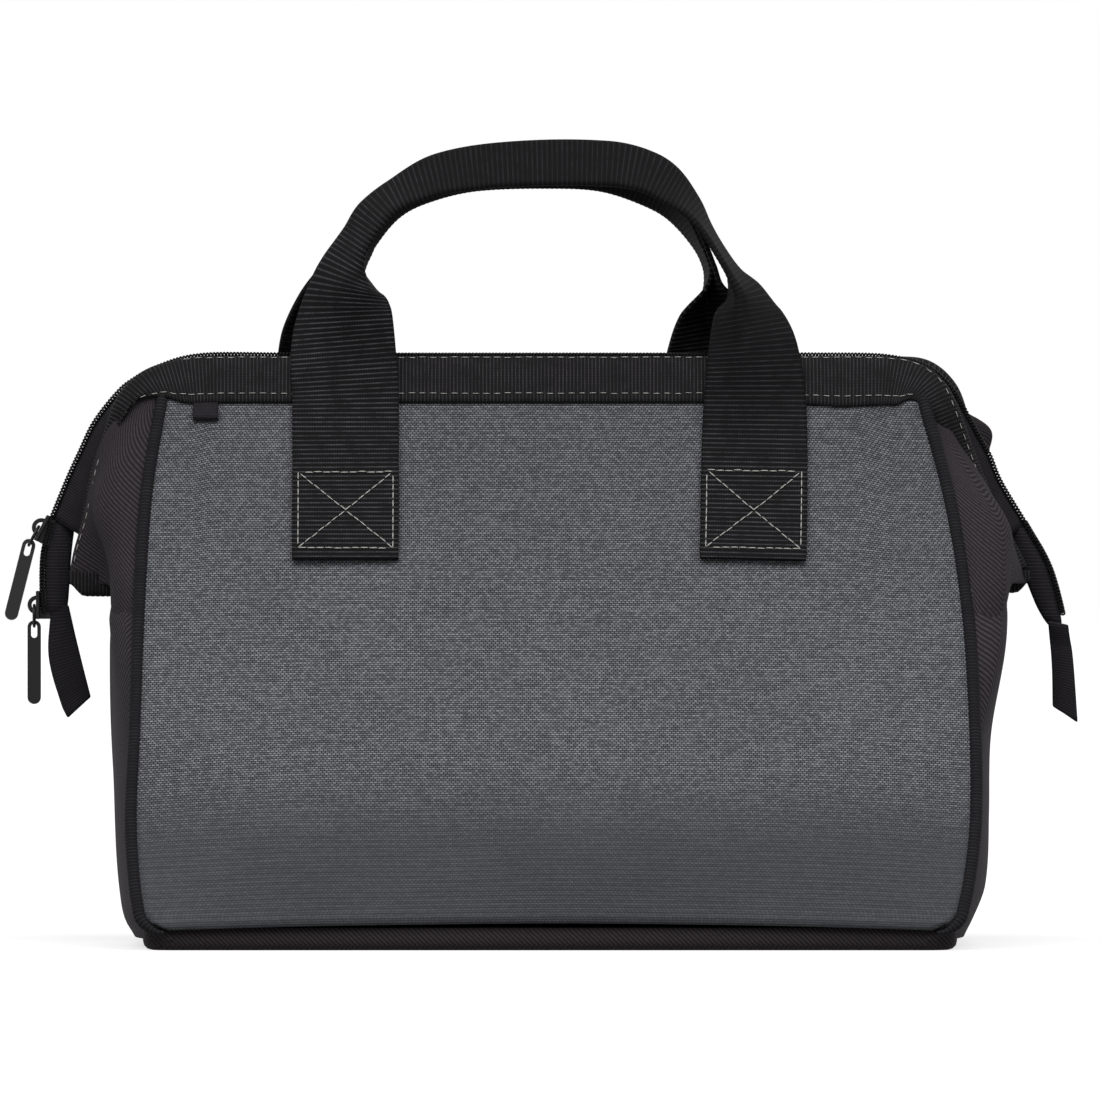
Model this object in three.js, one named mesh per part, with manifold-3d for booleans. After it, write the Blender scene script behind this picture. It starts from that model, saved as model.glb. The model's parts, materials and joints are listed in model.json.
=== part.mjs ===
// Zippered tool bag with a wire-framed wide mouth and two webbing handles.
// Millimetres, +Z up, front towards -Y. The origin is on the floor under the centre of the base.

import * as THREE from "three";
import { mergeVertices } from "three/addons/utils/BufferGeometryUtils.js";
import Module from "manifold-3d";

const wasm = await Module();
wasm.setup();

const DEGREE = Math.PI / 180;

// Clearances
const SEAT_GAP = 0.4;
const RUNNING_GAP = 0.6;

// Materials in sheet form
const PANEL_THICKNESS = 2.8;
const GUSSET_THICKNESS = 1.8;
const BINDING_THICKNESS = 1.2;
const TAPE_THICKNESS = 0.9;
const STRAP_THICKNESS = 2;

// Driving sizes: the base and the height of the frame wire's top bar
const BASE_LENGTH = 292;
const BASE_DEPTH = 192;
const RIM_Z = 203;

// Base
const BASE_CORNER = 22;
const BASE_FLOOR = 2.2;
const BAND_HEIGHT = 8;
const BOARD_THICKNESS = 3;
const BOARD_INSET = 5;

// Front and rear panels, sizes along the slope of the panel
const SEAM_Y = BASE_DEPTH / 2 - 1.5;
const PANEL_BOTTOM_HALF = BASE_LENGTH / 2 - 3;
const PANEL_MIDDLE_HALF = PANEL_BOTTOM_HALF + 5;
const PANEL_MIDDLE_AT = 48;
const PANEL_SHOULDER_HALF = PANEL_BOTTOM_HALF + 1.5;
const PANEL_SHOULDER_BELOW = 79.7;
const PANEL_TOP_HALF = PANEL_BOTTOM_HALF - 8.5;
const PANEL_CORNER = 14;
const PANEL_SWELL = 7;
const SWELL_AT = 60;
const SWELL_END = 130;
const SWELL_FLATNESS = 3.2;
const SWELL_SHARES = [-1, -0.9, -0.75, -0.45, 0, 0.45, 0.75, 0.9, 1];
const SWELL_LEVELS = [24, 36, 48, 60, 74, 88, 102, 116, 130, 160];
const PIPING_DIAMETER = 5;
const PIPING_STOP = 11;

// Rim: the frame wire and the webbing folded over it
const RIM_Y = 11.1;
const WIRE_RADIUS = 2;
const BAR_HALF = PANEL_TOP_HALF - 10.5;
const BEND_RADIUS = 28;
const BEND_TURN = 76 * DEGREE;
const LEG_DROP = 70;
const LEG_TILT = 2 * DEGREE;
const BINDING_ABOVE = 6.5;
const BINDING_BELOW = 8.5;
const BINDING_CHAMFER = 1.6;
const BINDING_INSIDE_CHAMFER = 1;

// Zip
const COIL_ABOVE_BAR = 7.5;
const COIL_TURN = 62.2 * DEGREE;
const COIL_DROP = 51;
const COIL_HEIGHT = 2;
const COIL_BACK = 3.7;
const COIL_ROOT = 1.2;
const COIL_REACH = 0.9;
const TOOTH_PITCH = 3;
const LEG_TOOTH_REACH = 7.8;
const LEG_TOOTH_ROOT = 6.9;
const LEG_COIL_BACK = 5.6;
const TAIL_LENGTH = 35;
const TAIL_TOP = RIM_Z - 55;
const TAIL_BOTTOM = TAIL_TOP - TAIL_LENGTH;
const TAIL_END = 2;
const TAIL_TAPE_WIDTH = 8.4;
const RIGHT_TAIL_LEAN = 3.6;
const TAIL_COIL_GAP = 2.4;
const TAIL_COIL_INSIDE = 2.7;
const TAIL_TOOTH_REACH = 1.5;
const TAPE_BELOW_BAR = 4;
const TAPE_SLOPE_DROP = 0.5;

// Hinge folds at the two ends of the mouth
const FOLD_BOTTOM = RIM_Z - 78.6;
const FOLD_HALF_DEPTH = 12;
const FOLD_WALL_TOP = RIM_Z - 57;

// Zip sliders and pulls
const SLIDER_LENGTH = 10;
const SLIDER_HALF_WIDTH = 5;
const SLIDER_PLATE = 1.3;
const SLIDER_SLOT = 2.6;
const SLIDER_POST_HALF = 1;
const SLIDER_NECK = 0.5;
const UPPER_SLIDER_Z = RIM_Z - 56;
const LOWER_SLIDER_Z = TAIL_BOTTOM + 8;
const BRIDGE_RADIUS = 3.4;
const BRIDGE_BAR = 1.5;
const BRIDGE_SUNK = 0.3;
const RING_RADIUS = 3.8;
const RING_BAR = 1.2;
const RING_OUT = 1;
const PULL_LENGTH = 30;
const PULL_WIDTH = 4.8;
const PULL_THICKNESS = 1.6;
const PULL_SLOT_LENGTH = 5;
const PULL_SLOT_WIDTH = 2.2;
const PULL_EYE = 1.3;
const PULL_PLAY = 0.3;
const UPPER_PULL_ANGLE = 14 * DEGREE;
const UPPER_PULL_FORWARD = 10 * DEGREE;

// End tabs
const TAB_LENGTH = 35;
const TAB_WIDTH = 9.5;
const TAB_THICKNESS = 4;
const LEFT_TAB_IN = 5.4;
const RIGHT_TAB_IN = 1.8;
const LEFT_TAB_ANGLE = -13 * DEGREE;
const RIGHT_TAB_ANGLE = -9 * DEGREE;

// Handles
const STRAP_WIDTH = 38;
const FOOT_BOTTOM_Z = RIM_Z - 64.5;
const FOOT_TOP_ABOVE_BAR = 8;
const FRONT_HANDLE_SPAN = 144.8;
const FRONT_HANDLE_CENTRE = 0.7;
const REAR_HANDLE_SPAN = 139;
const REAR_HANDLE_CENTRE = -9.5;
const HANDLE_TOP = RIM_Z + 83.5;
const SHOULDER_Z = RIM_Z + 33;
const GRIP_HEIGHT = 17;
const GRIP_THICKNESS = 7;
const GRIP_ROUND = 0.6;
const HANDLE_LEAN_IN = 7;
const SHOULDER_SLACK = 1;
const SHOULDER_RISE = 30;
const GRIP_START = [12, 23, 61];

// Gusset
const END_BULGE = 9;
const END_FOOT_IN = 3;
const END_FOOT_SHARE = 0.35;
const END_FOOT_HEIGHT = 30;
const END_TOP = FOLD_BOTTOM - 2.4;
const GUSSET_BULGE = 6;
const GUSSET_FLATTER = 0.7;
const GUSSET_TOP = RIM_Z - 21;
const GUSSET_ABOVE_FOLD = 4;
const GUSSET_INSIDE_LEG = 6;
const TUCK_TOP = END_TOP - 6;
const TUCK_BOTTOM = 30;
const TUCK_BOTTOM_DEPTH = 30;
const TUCK_EDGE = 24;
const FRONT_TUCK_X = PANEL_BOTTOM_HALF - 1;
const TUCK_STEP = 3.4;
const TUCK_PAST_CENTRE = 26;

// Small loop under the front rim
const LOOP_X = -122.6;
const LOOP_WIDTH = 9;
const LOOP_HEIGHT = 8.5;
const LOOP_THICKNESS = 3;

// Places worked out from the sizes above
const SEAM_Z = BAND_HEIGHT + SEAT_GAP;
const RISE = RIM_Z - SEAM_Z;
const LEAN = Math.atan2(SEAM_Y - RIM_Y, RISE);
const BAR_AT = Math.hypot(SEAM_Y - RIM_Y, RISE);
const BINDING_HALF = WIRE_RADIUS + SEAT_GAP + BINDING_THICKNESS;
const PANEL_TOP_AT = BAR_AT - BINDING_BELOW - SEAT_GAP;
const PANEL_SHOULDER_AT = BAR_AT - PANEL_SHOULDER_BELOW;
const FRAME_TILT = LEAN + LEG_TILT;
const COIL_RADIUS = BEND_RADIUS + COIL_ABOVE_BAR;
const LEG_TIP_X = legCentreX(-LEG_DROP);
const FOLD_OUTER_X = LEG_TIP_X + BINDING_ABOVE + RUNNING_GAP + BINDING_THICKNESS;
const FOLD_INNER_X = LEG_TIP_X - BINDING_BELOW;
const TAIL_INNER_X = FOLD_OUTER_X + SEAT_GAP;
const TAIL_COIL_X = FOLD_OUTER_X + TAIL_TAPE_WIDTH;
const REAR_TUCK_X = FRONT_TUCK_X - TUCK_STEP;

// Materials, with the colours of the cloth, webbing and metal
const greyCloth = new THREE.MeshStandardMaterial({ color: 0x565c5f, roughness: 0.9, metalness: 0 });
const blackCloth = new THREE.MeshStandardMaterial({ color: 0x2c292b, roughness: 0.92, metalness: 0 });
const blackWebbing = new THREE.MeshStandardMaterial({ color: 0x27262a, roughness: 0.8, metalness: 0 });
const blackCoil = new THREE.MeshStandardMaterial({ color: 0x1e1e20, roughness: 0.45, metalness: 0 });
const blackMetal = new THREE.MeshStandardMaterial({ color: 0x1b1b1d, roughness: 0.4, metalness: 0.8 });
const springSteel = new THREE.MeshStandardMaterial({ color: 0x8d9092, roughness: 0.35, metalness: 1 });
const boardPlastic = new THREE.MeshStandardMaterial({ color: 0x202022, roughness: 0.7, metalness: 0 });

const bag = new THREE.Group();

// Mesh helpers

function signedVolume(geometry) {
  const at = geometry.attributes.position;
  const index = geometry.index;
  const a = new THREE.Vector3();
  const b = new THREE.Vector3();
  const c = new THREE.Vector3();
  let volume = 0;
  for (let i = 0; i < index.count; i += 3) {
    a.fromBufferAttribute(at, index.getX(i));
    b.fromBufferAttribute(at, index.getX(i + 1));
    c.fromBufferAttribute(at, index.getX(i + 2));
    volume += a.dot(b.cross(c)) / 6;
  }
  return volume;
}

function facingOut(geometry) {
  if (signedVolume(geometry) >= 0) return geometry;
  const turned = [];
  for (let i = 0; i < geometry.index.count; i += 3) {
    turned.push(geometry.index.getX(i), geometry.index.getX(i + 2), geometry.index.getX(i + 1));
  }
  geometry.setIndex(turned);
  return geometry;
}

// A closed body through rings of points. The first ring's outline, given in 2-D, fills both ends.
function loft(rings, outline) {
  const count = rings[0].length;
  const positions = rings.flat(2);
  const triangles = [];
  for (let i = 0; i + 1 < rings.length; i += 1) {
    for (let j = 0; j < count; j += 1) {
      const next = (j + 1) % count;
      const [a, b] = [i * count + j, i * count + next];
      triangles.push(a, b, b + count, a, b + count, a + count);
    }
  }
  const points = outline.map(([x, y]) => new THREE.Vector2(x, y));
  const last = (rings.length - 1) * count;
  const anticlockwise = THREE.ShapeUtils.area(points) > 0;
  for (const [a, b, c] of THREE.ShapeUtils.triangulateShape(points, [])) {
    const [p, q] = anticlockwise ? [b, c] : [c, b];
    triangles.push(a, q, p, last + a, last + p, last + q);
  }
  const geometry = new THREE.BufferGeometry();
  geometry.setAttribute("position", new THREE.Float32BufferAttribute(positions, 3));
  geometry.setIndex(triangles);
  return facingOut(geometry);
}

function welded(geometry) {
  const bare = geometry.clone();
  bare.deleteAttribute("normal");
  bare.deleteAttribute("uv");
  return mergeVertices(bare, 1e-4);
}

function toManifold(geometry) {
  const closed = facingOut(welded(geometry));
  return new wasm.Manifold(new wasm.Mesh({
    numProp: 3,
    vertProperties: new Float32Array(closed.attributes.position.array),
    triVerts: new Uint32Array(closed.index.array),
  }));
}

function fromManifold(solid) {
  const mesh = solid.getMesh();
  const geometry = new THREE.BufferGeometry();
  geometry.setAttribute("position", new THREE.BufferAttribute(mesh.vertProperties, 3));
  geometry.setIndex(new THREE.BufferAttribute(mesh.triVerts, 1));
  return geometry;
}

const joined = (...parts) => fromManifold(parts.map(toManifold).reduce((a, b) => a.add(b)));
const cut = (body, tool) => fromManifold(toManifold(body).subtract(toManifold(tool)));

function extrude(shape, depth, curveSegments = 6) {
  return new THREE.ExtrudeGeometry(shape, { depth, bevelEnabled: false, steps: 1, curveSegments });
}

// A shape drawn in X and Z, with its thickness towards -Y from the plane y = 0.
function upright(shape, depth, curveSegments) {
  return extrude(shape, depth, curveSegments).rotateX(Math.PI / 2);
}

// A section drawn in Y and Z, extruded along X between two stations.
function alongX(section, from, to) {
  const rings = [from, to].map((x) => section.map(([y, z]) => [x, y, z]));
  return loft(rings, section);
}

function roundedRectangle(length, depth, radius) {
  const [x, y] = [length / 2, depth / 2];
  const shape = new THREE.Shape();
  shape.moveTo(-x + radius, -y);
  shape.lineTo(x - radius, -y);
  shape.absarc(x - radius, -y + radius, radius, -Math.PI / 2, 0);
  shape.absarc(x - radius, y - radius, radius, 0, Math.PI / 2);
  shape.absarc(-x + radius, y - radius, radius, Math.PI / 2, Math.PI);
  shape.absarc(-x + radius, -y + radius, radius, Math.PI, Math.PI * 1.5);
  return shape;
}

function addPiece(parent, name, geometry, material) {
  const mesh = new THREE.Mesh(geometry, material);
  mesh.name = name;
  parent.add(mesh);
  return mesh;
}

// Outline of the panels: half width at a distance along the slope

const sideCurve = new THREE.SplineCurve([
  new THREE.Vector2(PANEL_BOTTOM_HALF + 2, PANEL_CORNER),
  new THREE.Vector2(PANEL_MIDDLE_HALF, PANEL_MIDDLE_AT),
  new THREE.Vector2(PANEL_SHOULDER_HALF, PANEL_SHOULDER_AT),
  new THREE.Vector2(PANEL_TOP_HALF, PANEL_TOP_AT),
]);

const cornerCurve = new THREE.QuadraticBezierCurve(
  new THREE.Vector2(PANEL_BOTTOM_HALF - PANEL_CORNER, 0),
  new THREE.Vector2(PANEL_BOTTOM_HALF, 0),
  sideCurve.points[0],
);

function panelHalf(at) {
  let [low, high] = [0, 1];
  for (let i = 0; i < 24; i += 1) {
    const middle = (low + high) / 2;
    if (sideCurve.getPoint(middle).y < at) low = middle;
    else high = middle;
  }
  return sideCurve.getPoint(low).x;
}

const slopeAt = (z) => (z - SEAM_Z) / Math.cos(LEAN);
const panelInnerY = (z) => -SEAM_Y + (z - SEAM_Z) * Math.tan(LEAN);

// A point of the leaning panel frame, inward by y and along the slope by z, in the upright frame
function leaning(y, z) {
  return [
    -SEAM_Y + y * Math.cos(LEAN) + z * Math.sin(LEAN),
    SEAM_Z - y * Math.sin(LEAN) + z * Math.cos(LEAN),
  ];
}

// Base

function bottomPanel() {
  const outer = extrude(roundedRectangle(BASE_LENGTH, BASE_DEPTH, BASE_CORNER), BAND_HEIGHT);
  const wall = GUSSET_THICKNESS * 2;
  const inner = extrude(
    roundedRectangle(BASE_LENGTH - wall, BASE_DEPTH - wall, BASE_CORNER - GUSSET_THICKNESS),
    BAND_HEIGHT,
  );
  inner.translate(0, 0, BASE_FLOOR);
  return cut(outer, inner);
}

function baseBoard() {
  const outline = roundedRectangle(
    BASE_LENGTH - BOARD_INSET * 2,
    BASE_DEPTH - BOARD_INSET * 2,
    BASE_CORNER - BOARD_INSET,
  );
  return extrude(outline, BOARD_THICKNESS).translate(0, 0, BASE_FLOOR + SEAT_GAP);
}

// The lower end wall: a crowned sheet between the base and the fold of the mouth
function endPanel(side) {
  const levels = [SEAM_Z, 16, 30, 60, 90, END_TOP];
  const columns = 8;
  const rings = levels.map((z) => {
    const reach = -panelInnerY(z) - (PIPING_DIAMETER / 2 + RUNNING_GAP) / Math.cos(LEAN);
    const seamX = panelHalf(Math.max(slopeAt(z), PANEL_CORNER)) + RUNNING_GAP;
    const foot = Math.min(1, END_FOOT_SHARE + (z - SEAM_Z) / END_FOOT_HEIGHT);
    const outer = [];
    const inner = [];
    for (let i = 0; i <= columns; i += 1) {
      const across = (2 * i) / columns - 1;
      const x = seamX - (1 - foot) * END_FOOT_IN + END_BULGE * foot * (1 - across * across);
      outer.push([side * x, across * reach, z]);
      inner.unshift([side * (x - GUSSET_THICKNESS), across * reach, z]);
    }
    return [...outer, ...inner];
  });
  return loft(rings, rings[0].map(([x, y]) => [x, y]));
}

// Panel pieces, in the leaning frame

// How far the full cloth stands out from its plane, at a share of the half width and a distance up
function panelSwell(share, at) {
  const rise = at < SWELL_AT ? at / SWELL_AT : (SWELL_END - at) / (SWELL_END - SWELL_AT);
  const along = Math.sin((Math.PI / 2) * Math.max(0, rise)) ** 2;
  return PANEL_SWELL * along * (1 - Math.abs(share) ** SWELL_FLATNESS);
}

function panelSheet() {
  const corner = cornerCurve.getPoints(6).map((point) => [point.x, point.y]);
  const levels = [...SWELL_LEVELS, PANEL_TOP_AT].map((at) => [panelHalf(at), at]);
  const rings = [...corner, ...levels].map(([half, at]) => {
    const outer = [];
    const inner = [];
    for (const share of SWELL_SHARES) {
      const y = -panelSwell(share, at);
      outer.push([share * half, y - PANEL_THICKNESS, at]);
      inner.unshift([share * half, y, at]);
    }
    return [...outer, ...inner];
  });
  return loft(rings, rings[0].map(([x, y]) => [x, y]));
}

function sidePiping(side) {
  const radius = PIPING_DIAMETER / 2;
  const outward = radius + RUNNING_GAP;
  const points = [];
  for (const t of [0.55, 0.75]) {
    const [point, tangent] = [cornerCurve.getPoint(t), cornerCurve.getTangent(t)];
    const x = side * (point.x + outward * tangent.y);
    points.push(new THREE.Vector3(x, -PANEL_THICKNESS / 2, point.y - outward * tangent.x));
  }
  const end = PANEL_TOP_AT - PIPING_STOP;
  const spans = 8;
  for (let i = 0; i <= spans; i += 1) {
    const at = PANEL_CORNER + ((end - PANEL_CORNER) * i) / spans;
    points.push(new THREE.Vector3(side * (panelHalf(at) + outward), -PANEL_THICKNESS / 2, at));
  }
  const circle = new THREE.Shape();
  circle.absarc(0, 0, radius, 0, Math.PI * 2);
  const extrudePath = new THREE.CatmullRomCurve3(points);
  return new THREE.ExtrudeGeometry(circle, { steps: 24, extrudePath, curveSegments: 8 });
}

// Folded webbing section round the wire: open on the side away from the fold
function bindingSection(half, above, below) {
  const inner = half - BINDING_THICKNESS;
  const innerAbove = above - BINDING_THICKNESS;
  const [chamfer, innerChamfer] = [BINDING_CHAMFER, BINDING_INSIDE_CHAMFER];
  return [
    [-half, -below],
    [-half, above - chamfer],
    [-half + chamfer, above],
    [half - chamfer, above],
    [half, above - chamfer],
    [half, -below],
    [inner, -below],
    [inner, innerAbove - innerChamfer],
    [inner - innerChamfer, innerAbove],
    [-inner + innerChamfer, innerAbove],
    [-inner, innerAbove - innerChamfer],
    [-inner, -below],
  ];
}

// Stations round the corner of the mouth and down one side, in the plane of the frame, from the bar.
// Each holds its place and the direction that faces out of the mouth.
function sideStations(radius, turn, drop, bendSteps, legSteps) {
  const stations = [];
  for (let i = 0; i <= bendSteps; i += 1) {
    const angle = (turn * i) / bendSteps;
    stations.push({
      x: BAR_HALF + radius * Math.sin(angle),
      z: -BEND_RADIUS + radius * Math.cos(angle),
      outX: Math.sin(angle),
      outZ: Math.cos(angle),
    });
  }
  const end = stations[bendSteps];
  for (let i = 1; i <= legSteps; i += 1) {
    const z = end.z + ((-drop - end.z) * i) / legSteps;
    stations.push({ ...end, x: end.x + (end.z - z) / Math.tan(turn), z });
  }
  return stations;
}

// A section of [outward, across] points carried along stations, on one side of the bag
function sweepSide(stations, sectionAt, side) {
  const rings = stations.map((station, i) =>
    sectionAt(i).map(([out, across]) => [
      side * (station.x + out * station.outX),
      across,
      station.z + out * station.outZ,
    ]));
  return loft(rings, sectionAt(0));
}

function frameWire() {
  const right = sideStations(BEND_RADIUS, BEND_TURN, LEG_DROP, 6, 2);
  right.unshift({ ...right[0], x: 0 });
  const left = right.slice(1).map((s) => ({ ...s, x: -s.x, outX: -s.outX }));
  const sides = 8;
  const circle = Array.from({ length: sides }, (_, i) => {
    const angle = (2 * Math.PI * i) / sides;
    return [WIRE_RADIUS * Math.cos(angle), WIRE_RADIUS * Math.sin(angle)];
  });
  return sweepSide([...left.reverse(), ...right], () => circle, 1);
}

function legBinding(side) {
  const stations = sideStations(BEND_RADIUS, BEND_TURN, LEG_DROP, 6, 2);
  stations[0].x += RUNNING_GAP;
  Object.assign(stations.at(-1), { outX: 1, outZ: 0 });
  const section = bindingSection(BINDING_HALF, BINDING_ABOVE, BINDING_BELOW);
  return sweepSide(stations, () => section.map(([across, out]) => [out, across]), side);
}

function legTape(side) {
  const steps = [6, 2];
  const wire = sideStations(BEND_RADIUS, BEND_TURN, COIL_DROP, ...steps);
  const coil = sideStations(COIL_RADIUS, COIL_TURN, COIL_DROP, ...steps);
  const inner = BINDING_HALF + SEAT_GAP;
  const outer = LEG_COIL_BACK + RUNNING_GAP;
  const reach = COIL_HEIGHT / 2 + SEAT_GAP;
  const rings = wire.map((from, i) => {
    const to = coil[i];
    const near = [side * (from.x + from.outX), from.z + from.outZ];
    const far = [side * (to.x - reach * to.outX), to.z - reach * to.outZ];
    const start = i === 0 ? side * RUNNING_GAP : 0;
    return [
      [near[0] + start, inner, near[1]],
      [far[0] + start, outer, far[1]],
      [far[0] + start, outer + TAPE_THICKNESS, far[1]],
      [near[0] + start, inner + TAPE_THICKNESS, near[1]],
    ];
  });
  return loft(rings, [[0, 0], [1, 0], [1, 1], [0, 1]]);
}

function legCoil(side) {
  const bend = COIL_RADIUS * COIL_TURN;
  const straight = (COIL_DROP - BEND_RADIUS + COIL_RADIUS * Math.cos(COIL_TURN)) / Math.sin(COIL_TURN);
  const bendSteps = 2 * Math.round(bend / TOOTH_PITCH);
  const legSteps = 2 * Math.round(straight / TOOTH_PITCH);
  const stations = sideStations(COIL_RADIUS, COIL_TURN, COIL_DROP, bendSteps, legSteps);
  stations[0].x += RUNNING_GAP;
  const half = COIL_HEIGHT / 2;
  const section = (i) => {
    const reach = i % 2 ? LEG_TOOTH_REACH : LEG_TOOTH_ROOT;
    return [[-half, LEG_COIL_BACK], [half, LEG_COIL_BACK], [half, reach], [-half, reach]];
  };
  return sweepSide(stations, section, side);
}

// Zip along the top bar, in the upright frame

function topTape() {
  const [innerY, innerZ] = leaning(BINDING_HALF + SEAT_GAP, BAR_AT - TAPE_BELOW_BAR);
  const [bendY, bendZ] = leaning(BINDING_HALF + SEAT_GAP, BAR_AT + BINDING_ABOVE);
  const coilZ = RIM_Z + COIL_ABOVE_BAR - COIL_HEIGHT / 2;
  const section = [
    [innerY, innerZ],
    [bendY, bendZ],
    [-COIL_BACK + SEAT_GAP, coilZ - SEAT_GAP],
    [-COIL_ROOT - SEAT_GAP, coilZ - SEAT_GAP],
    [bendY + TAPE_THICKNESS, bendZ - TAPE_SLOPE_DROP],
    [innerY + TAPE_THICKNESS, innerZ],
  ];
  return alongX(section, -BAR_HALF + RUNNING_GAP, BAR_HALF - RUNNING_GAP);
}

// A comb whose teeth stand in the gaps of the other half's comb
function topCoil() {
  const half = BAR_HALF - RUNNING_GAP;
  const shape = new THREE.Shape();
  shape.moveTo(-half, -COIL_BACK);
  shape.lineTo(half, -COIL_BACK);
  shape.lineTo(half, -COIL_ROOT);
  const teeth = Math.floor(half / TOOTH_PITCH) - 1;
  const toothWidth = TOOTH_PITCH / 2 - SEAT_GAP;
  for (let i = teeth; i >= -teeth; i -= 1) {
    const centre = (i + 0.25) * TOOTH_PITCH;
    shape.lineTo(centre + toothWidth / 2, -COIL_ROOT);
    shape.lineTo(centre + toothWidth / 2, COIL_REACH);
    shape.lineTo(centre - toothWidth / 2, COIL_REACH);
    shape.lineTo(centre - toothWidth / 2, -COIL_ROOT);
  }
  shape.lineTo(-half, -COIL_ROOT);
  return extrude(shape, COIL_HEIGHT).translate(0, 0, RIM_Z + COIL_ABOVE_BAR - COIL_HEIGHT / 2);
}

// Upper gusset: the cloth between the panel's side seam and the leg of the frame
function upperGusset(side) {
  const rows = 5;
  const columns = 6;
  const rings = [];
  for (let row = 0; row <= rows; row += 1) {
    const up = row / rows;
    const seamZ = END_TOP + RUNNING_GAP + (GUSSET_TOP - END_TOP) * up;
    const seamX = panelHalf(slopeAt(seamZ)) + RUNNING_GAP;
    const seamY = panelInnerY(seamZ) + (PIPING_DIAMETER / 2 + RUNNING_GAP) / Math.cos(LEAN);
    const legZ = THREE.MathUtils.lerp(FOLD_BOTTOM + GUSSET_ABOVE_FOLD, GUSSET_TOP, up);
    const legX = legCentreX(legZ - RIM_Z) - GUSSET_INSIDE_LEG;
    const legY = -RIM_Y + (RIM_Z - legZ) * Math.tan(LEG_TILT) - BINDING_HALF - RUNNING_GAP;
    const bulge = GUSSET_BULGE * (1 - GUSSET_FLATTER * up);
    const outer = [];
    const inner = [];
    for (let column = 0; column <= columns; column += 1) {
      const along = column / columns;
      const x = THREE.MathUtils.lerp(seamX, legX, along) + bulge * Math.sin(Math.PI * along);
      const y = THREE.MathUtils.lerp(seamY, legY, along);
      const z = THREE.MathUtils.lerp(seamZ, legZ, along);
      outer.push([side * x, y, z]);
      inner.unshift([side * (x - GUSSET_THICKNESS), y, z]);
    }
    rings.push([...outer, ...inner]);
  }
  return loft(rings, rings[0].map(([x, y]) => [x, y]));
}

function legCentreX(z) {
  const bendEndX = BAR_HALF + BEND_RADIUS * Math.sin(BEND_TURN);
  const bendEndZ = -BEND_RADIUS + BEND_RADIUS * Math.cos(BEND_TURN);
  return bendEndX + Math.max(0, bendEndZ - z) / Math.tan(BEND_TURN);
}

// Spare gusset cloth, folded flat inside the end, that follows the panel outward
function gussetTuck(x) {
  const away = SEAT_GAP / Math.cos(LEAN);
  const shape = new THREE.Shape();
  shape.moveTo(panelInnerY(TUCK_BOTTOM) + away, TUCK_BOTTOM);
  shape.lineTo(panelInnerY(TUCK_BOTTOM) + away + TUCK_BOTTOM_DEPTH, TUCK_BOTTOM);
  shape.lineTo(TUCK_PAST_CENTRE, TUCK_TOP - TUCK_EDGE);
  shape.lineTo(TUCK_PAST_CENTRE, TUCK_TOP);
  shape.lineTo(panelInnerY(TUCK_TOP) + away, TUCK_TOP);
  const sheet = extrude(shape, GUSSET_THICKNESS);
  sheet.rotateX(Math.PI / 2).rotateZ(Math.PI / 2);
  return sheet.translate(x, 0, 0);
}

// Handle feet and handles

function handleFoot(centre) {
  const bottom = slopeAt(FOOT_BOTTOM_Z);
  const top = BAR_AT + FOOT_TOP_ABOVE_BAR;
  const shape = new THREE.Shape();
  shape.moveTo(centre - STRAP_WIDTH / 2, bottom);
  shape.lineTo(centre + STRAP_WIDTH / 2, bottom);
  shape.lineTo(centre + STRAP_WIDTH / 2, top);
  shape.lineTo(centre - STRAP_WIDTH / 2, top);
  return upright(shape, STRAP_THICKNESS).translate(0, -BINDING_HALF - SEAT_GAP, 0);
}

// Half of the handle's centre line as [x, z] with its heading, from the foot to the middle of the grip
function handleStations(span, footZ) {
  const top = HANDLE_TOP - GRIP_HEIGHT / 2;
  const corner = new THREE.CubicBezierCurve(
    new THREE.Vector2(-span / 2 - SHOULDER_SLACK, SHOULDER_Z + 4),
    new THREE.Vector2(-span / 2 + GRIP_START[0], SHOULDER_Z + SHOULDER_RISE),
    new THREE.Vector2(-span / 2 + GRIP_START[1], top),
    new THREE.Vector2(-span / 2 + GRIP_START[2], top),
  );
  const upright = Math.PI / 2;
  const stations = [
    { x: -span / 2, z: footZ, heading: upright, fold: 0 },
    { x: -span / 2, z: SHOULDER_Z - 12, heading: upright, fold: 0.12 },
    { x: -span / 2, z: SHOULDER_Z - 3, heading: upright - 0.05, fold: 0.6 },
  ];
  for (let i = 0; i <= 7; i += 1) {
    const point = corner.getPoint(i / 7);
    const tangent = corner.getTangent(i / 7);
    const heading = Math.atan2(tangent.y, tangent.x);
    stations.push({ x: point.x, z: point.y, heading, fold: 1 });
  }
  return stations;
}

function handle(span, foot) {
  const half = handleStations(span, foot.z);
  const mirrored = half.map((s) => ({ ...s, x: -s.x, heading: -s.heading })).reverse();
  const lean = HANDLE_LEAN_IN / (HANDLE_TOP - foot.z);
  const rings = [...half, ...mirrored].map((s) => {
    const wide = THREE.MathUtils.lerp(STRAP_WIDTH, GRIP_HEIGHT, s.fold) / 2;
    const deep = THREE.MathUtils.lerp(STRAP_THICKNESS, GRIP_THICKNESS, s.fold) / 2;
    const round = deep * GRIP_ROUND;
    const section = [
      [-wide, -deep + round], [-wide + round, -deep], [wide - round, -deep], [wide, -deep + round],
      [wide, deep - round], [wide - round, deep], [-wide + round, deep], [-wide, deep - round],
    ];
    return section.map(([across, thick]) => {
      const z = s.z + across * Math.cos(s.heading);
      const y = foot.y + STRAP_THICKNESS / 2 + thick + (s.z - foot.z) * lean;
      return [s.x - across * Math.sin(s.heading), y, z];
    });
  });
  const outline = [[0, 1], [1, 0], [3, 0], [4, 1], [4, 2], [3, 3], [1, 3], [0, 2]];
  return loft(rings, outline);
}

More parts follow.
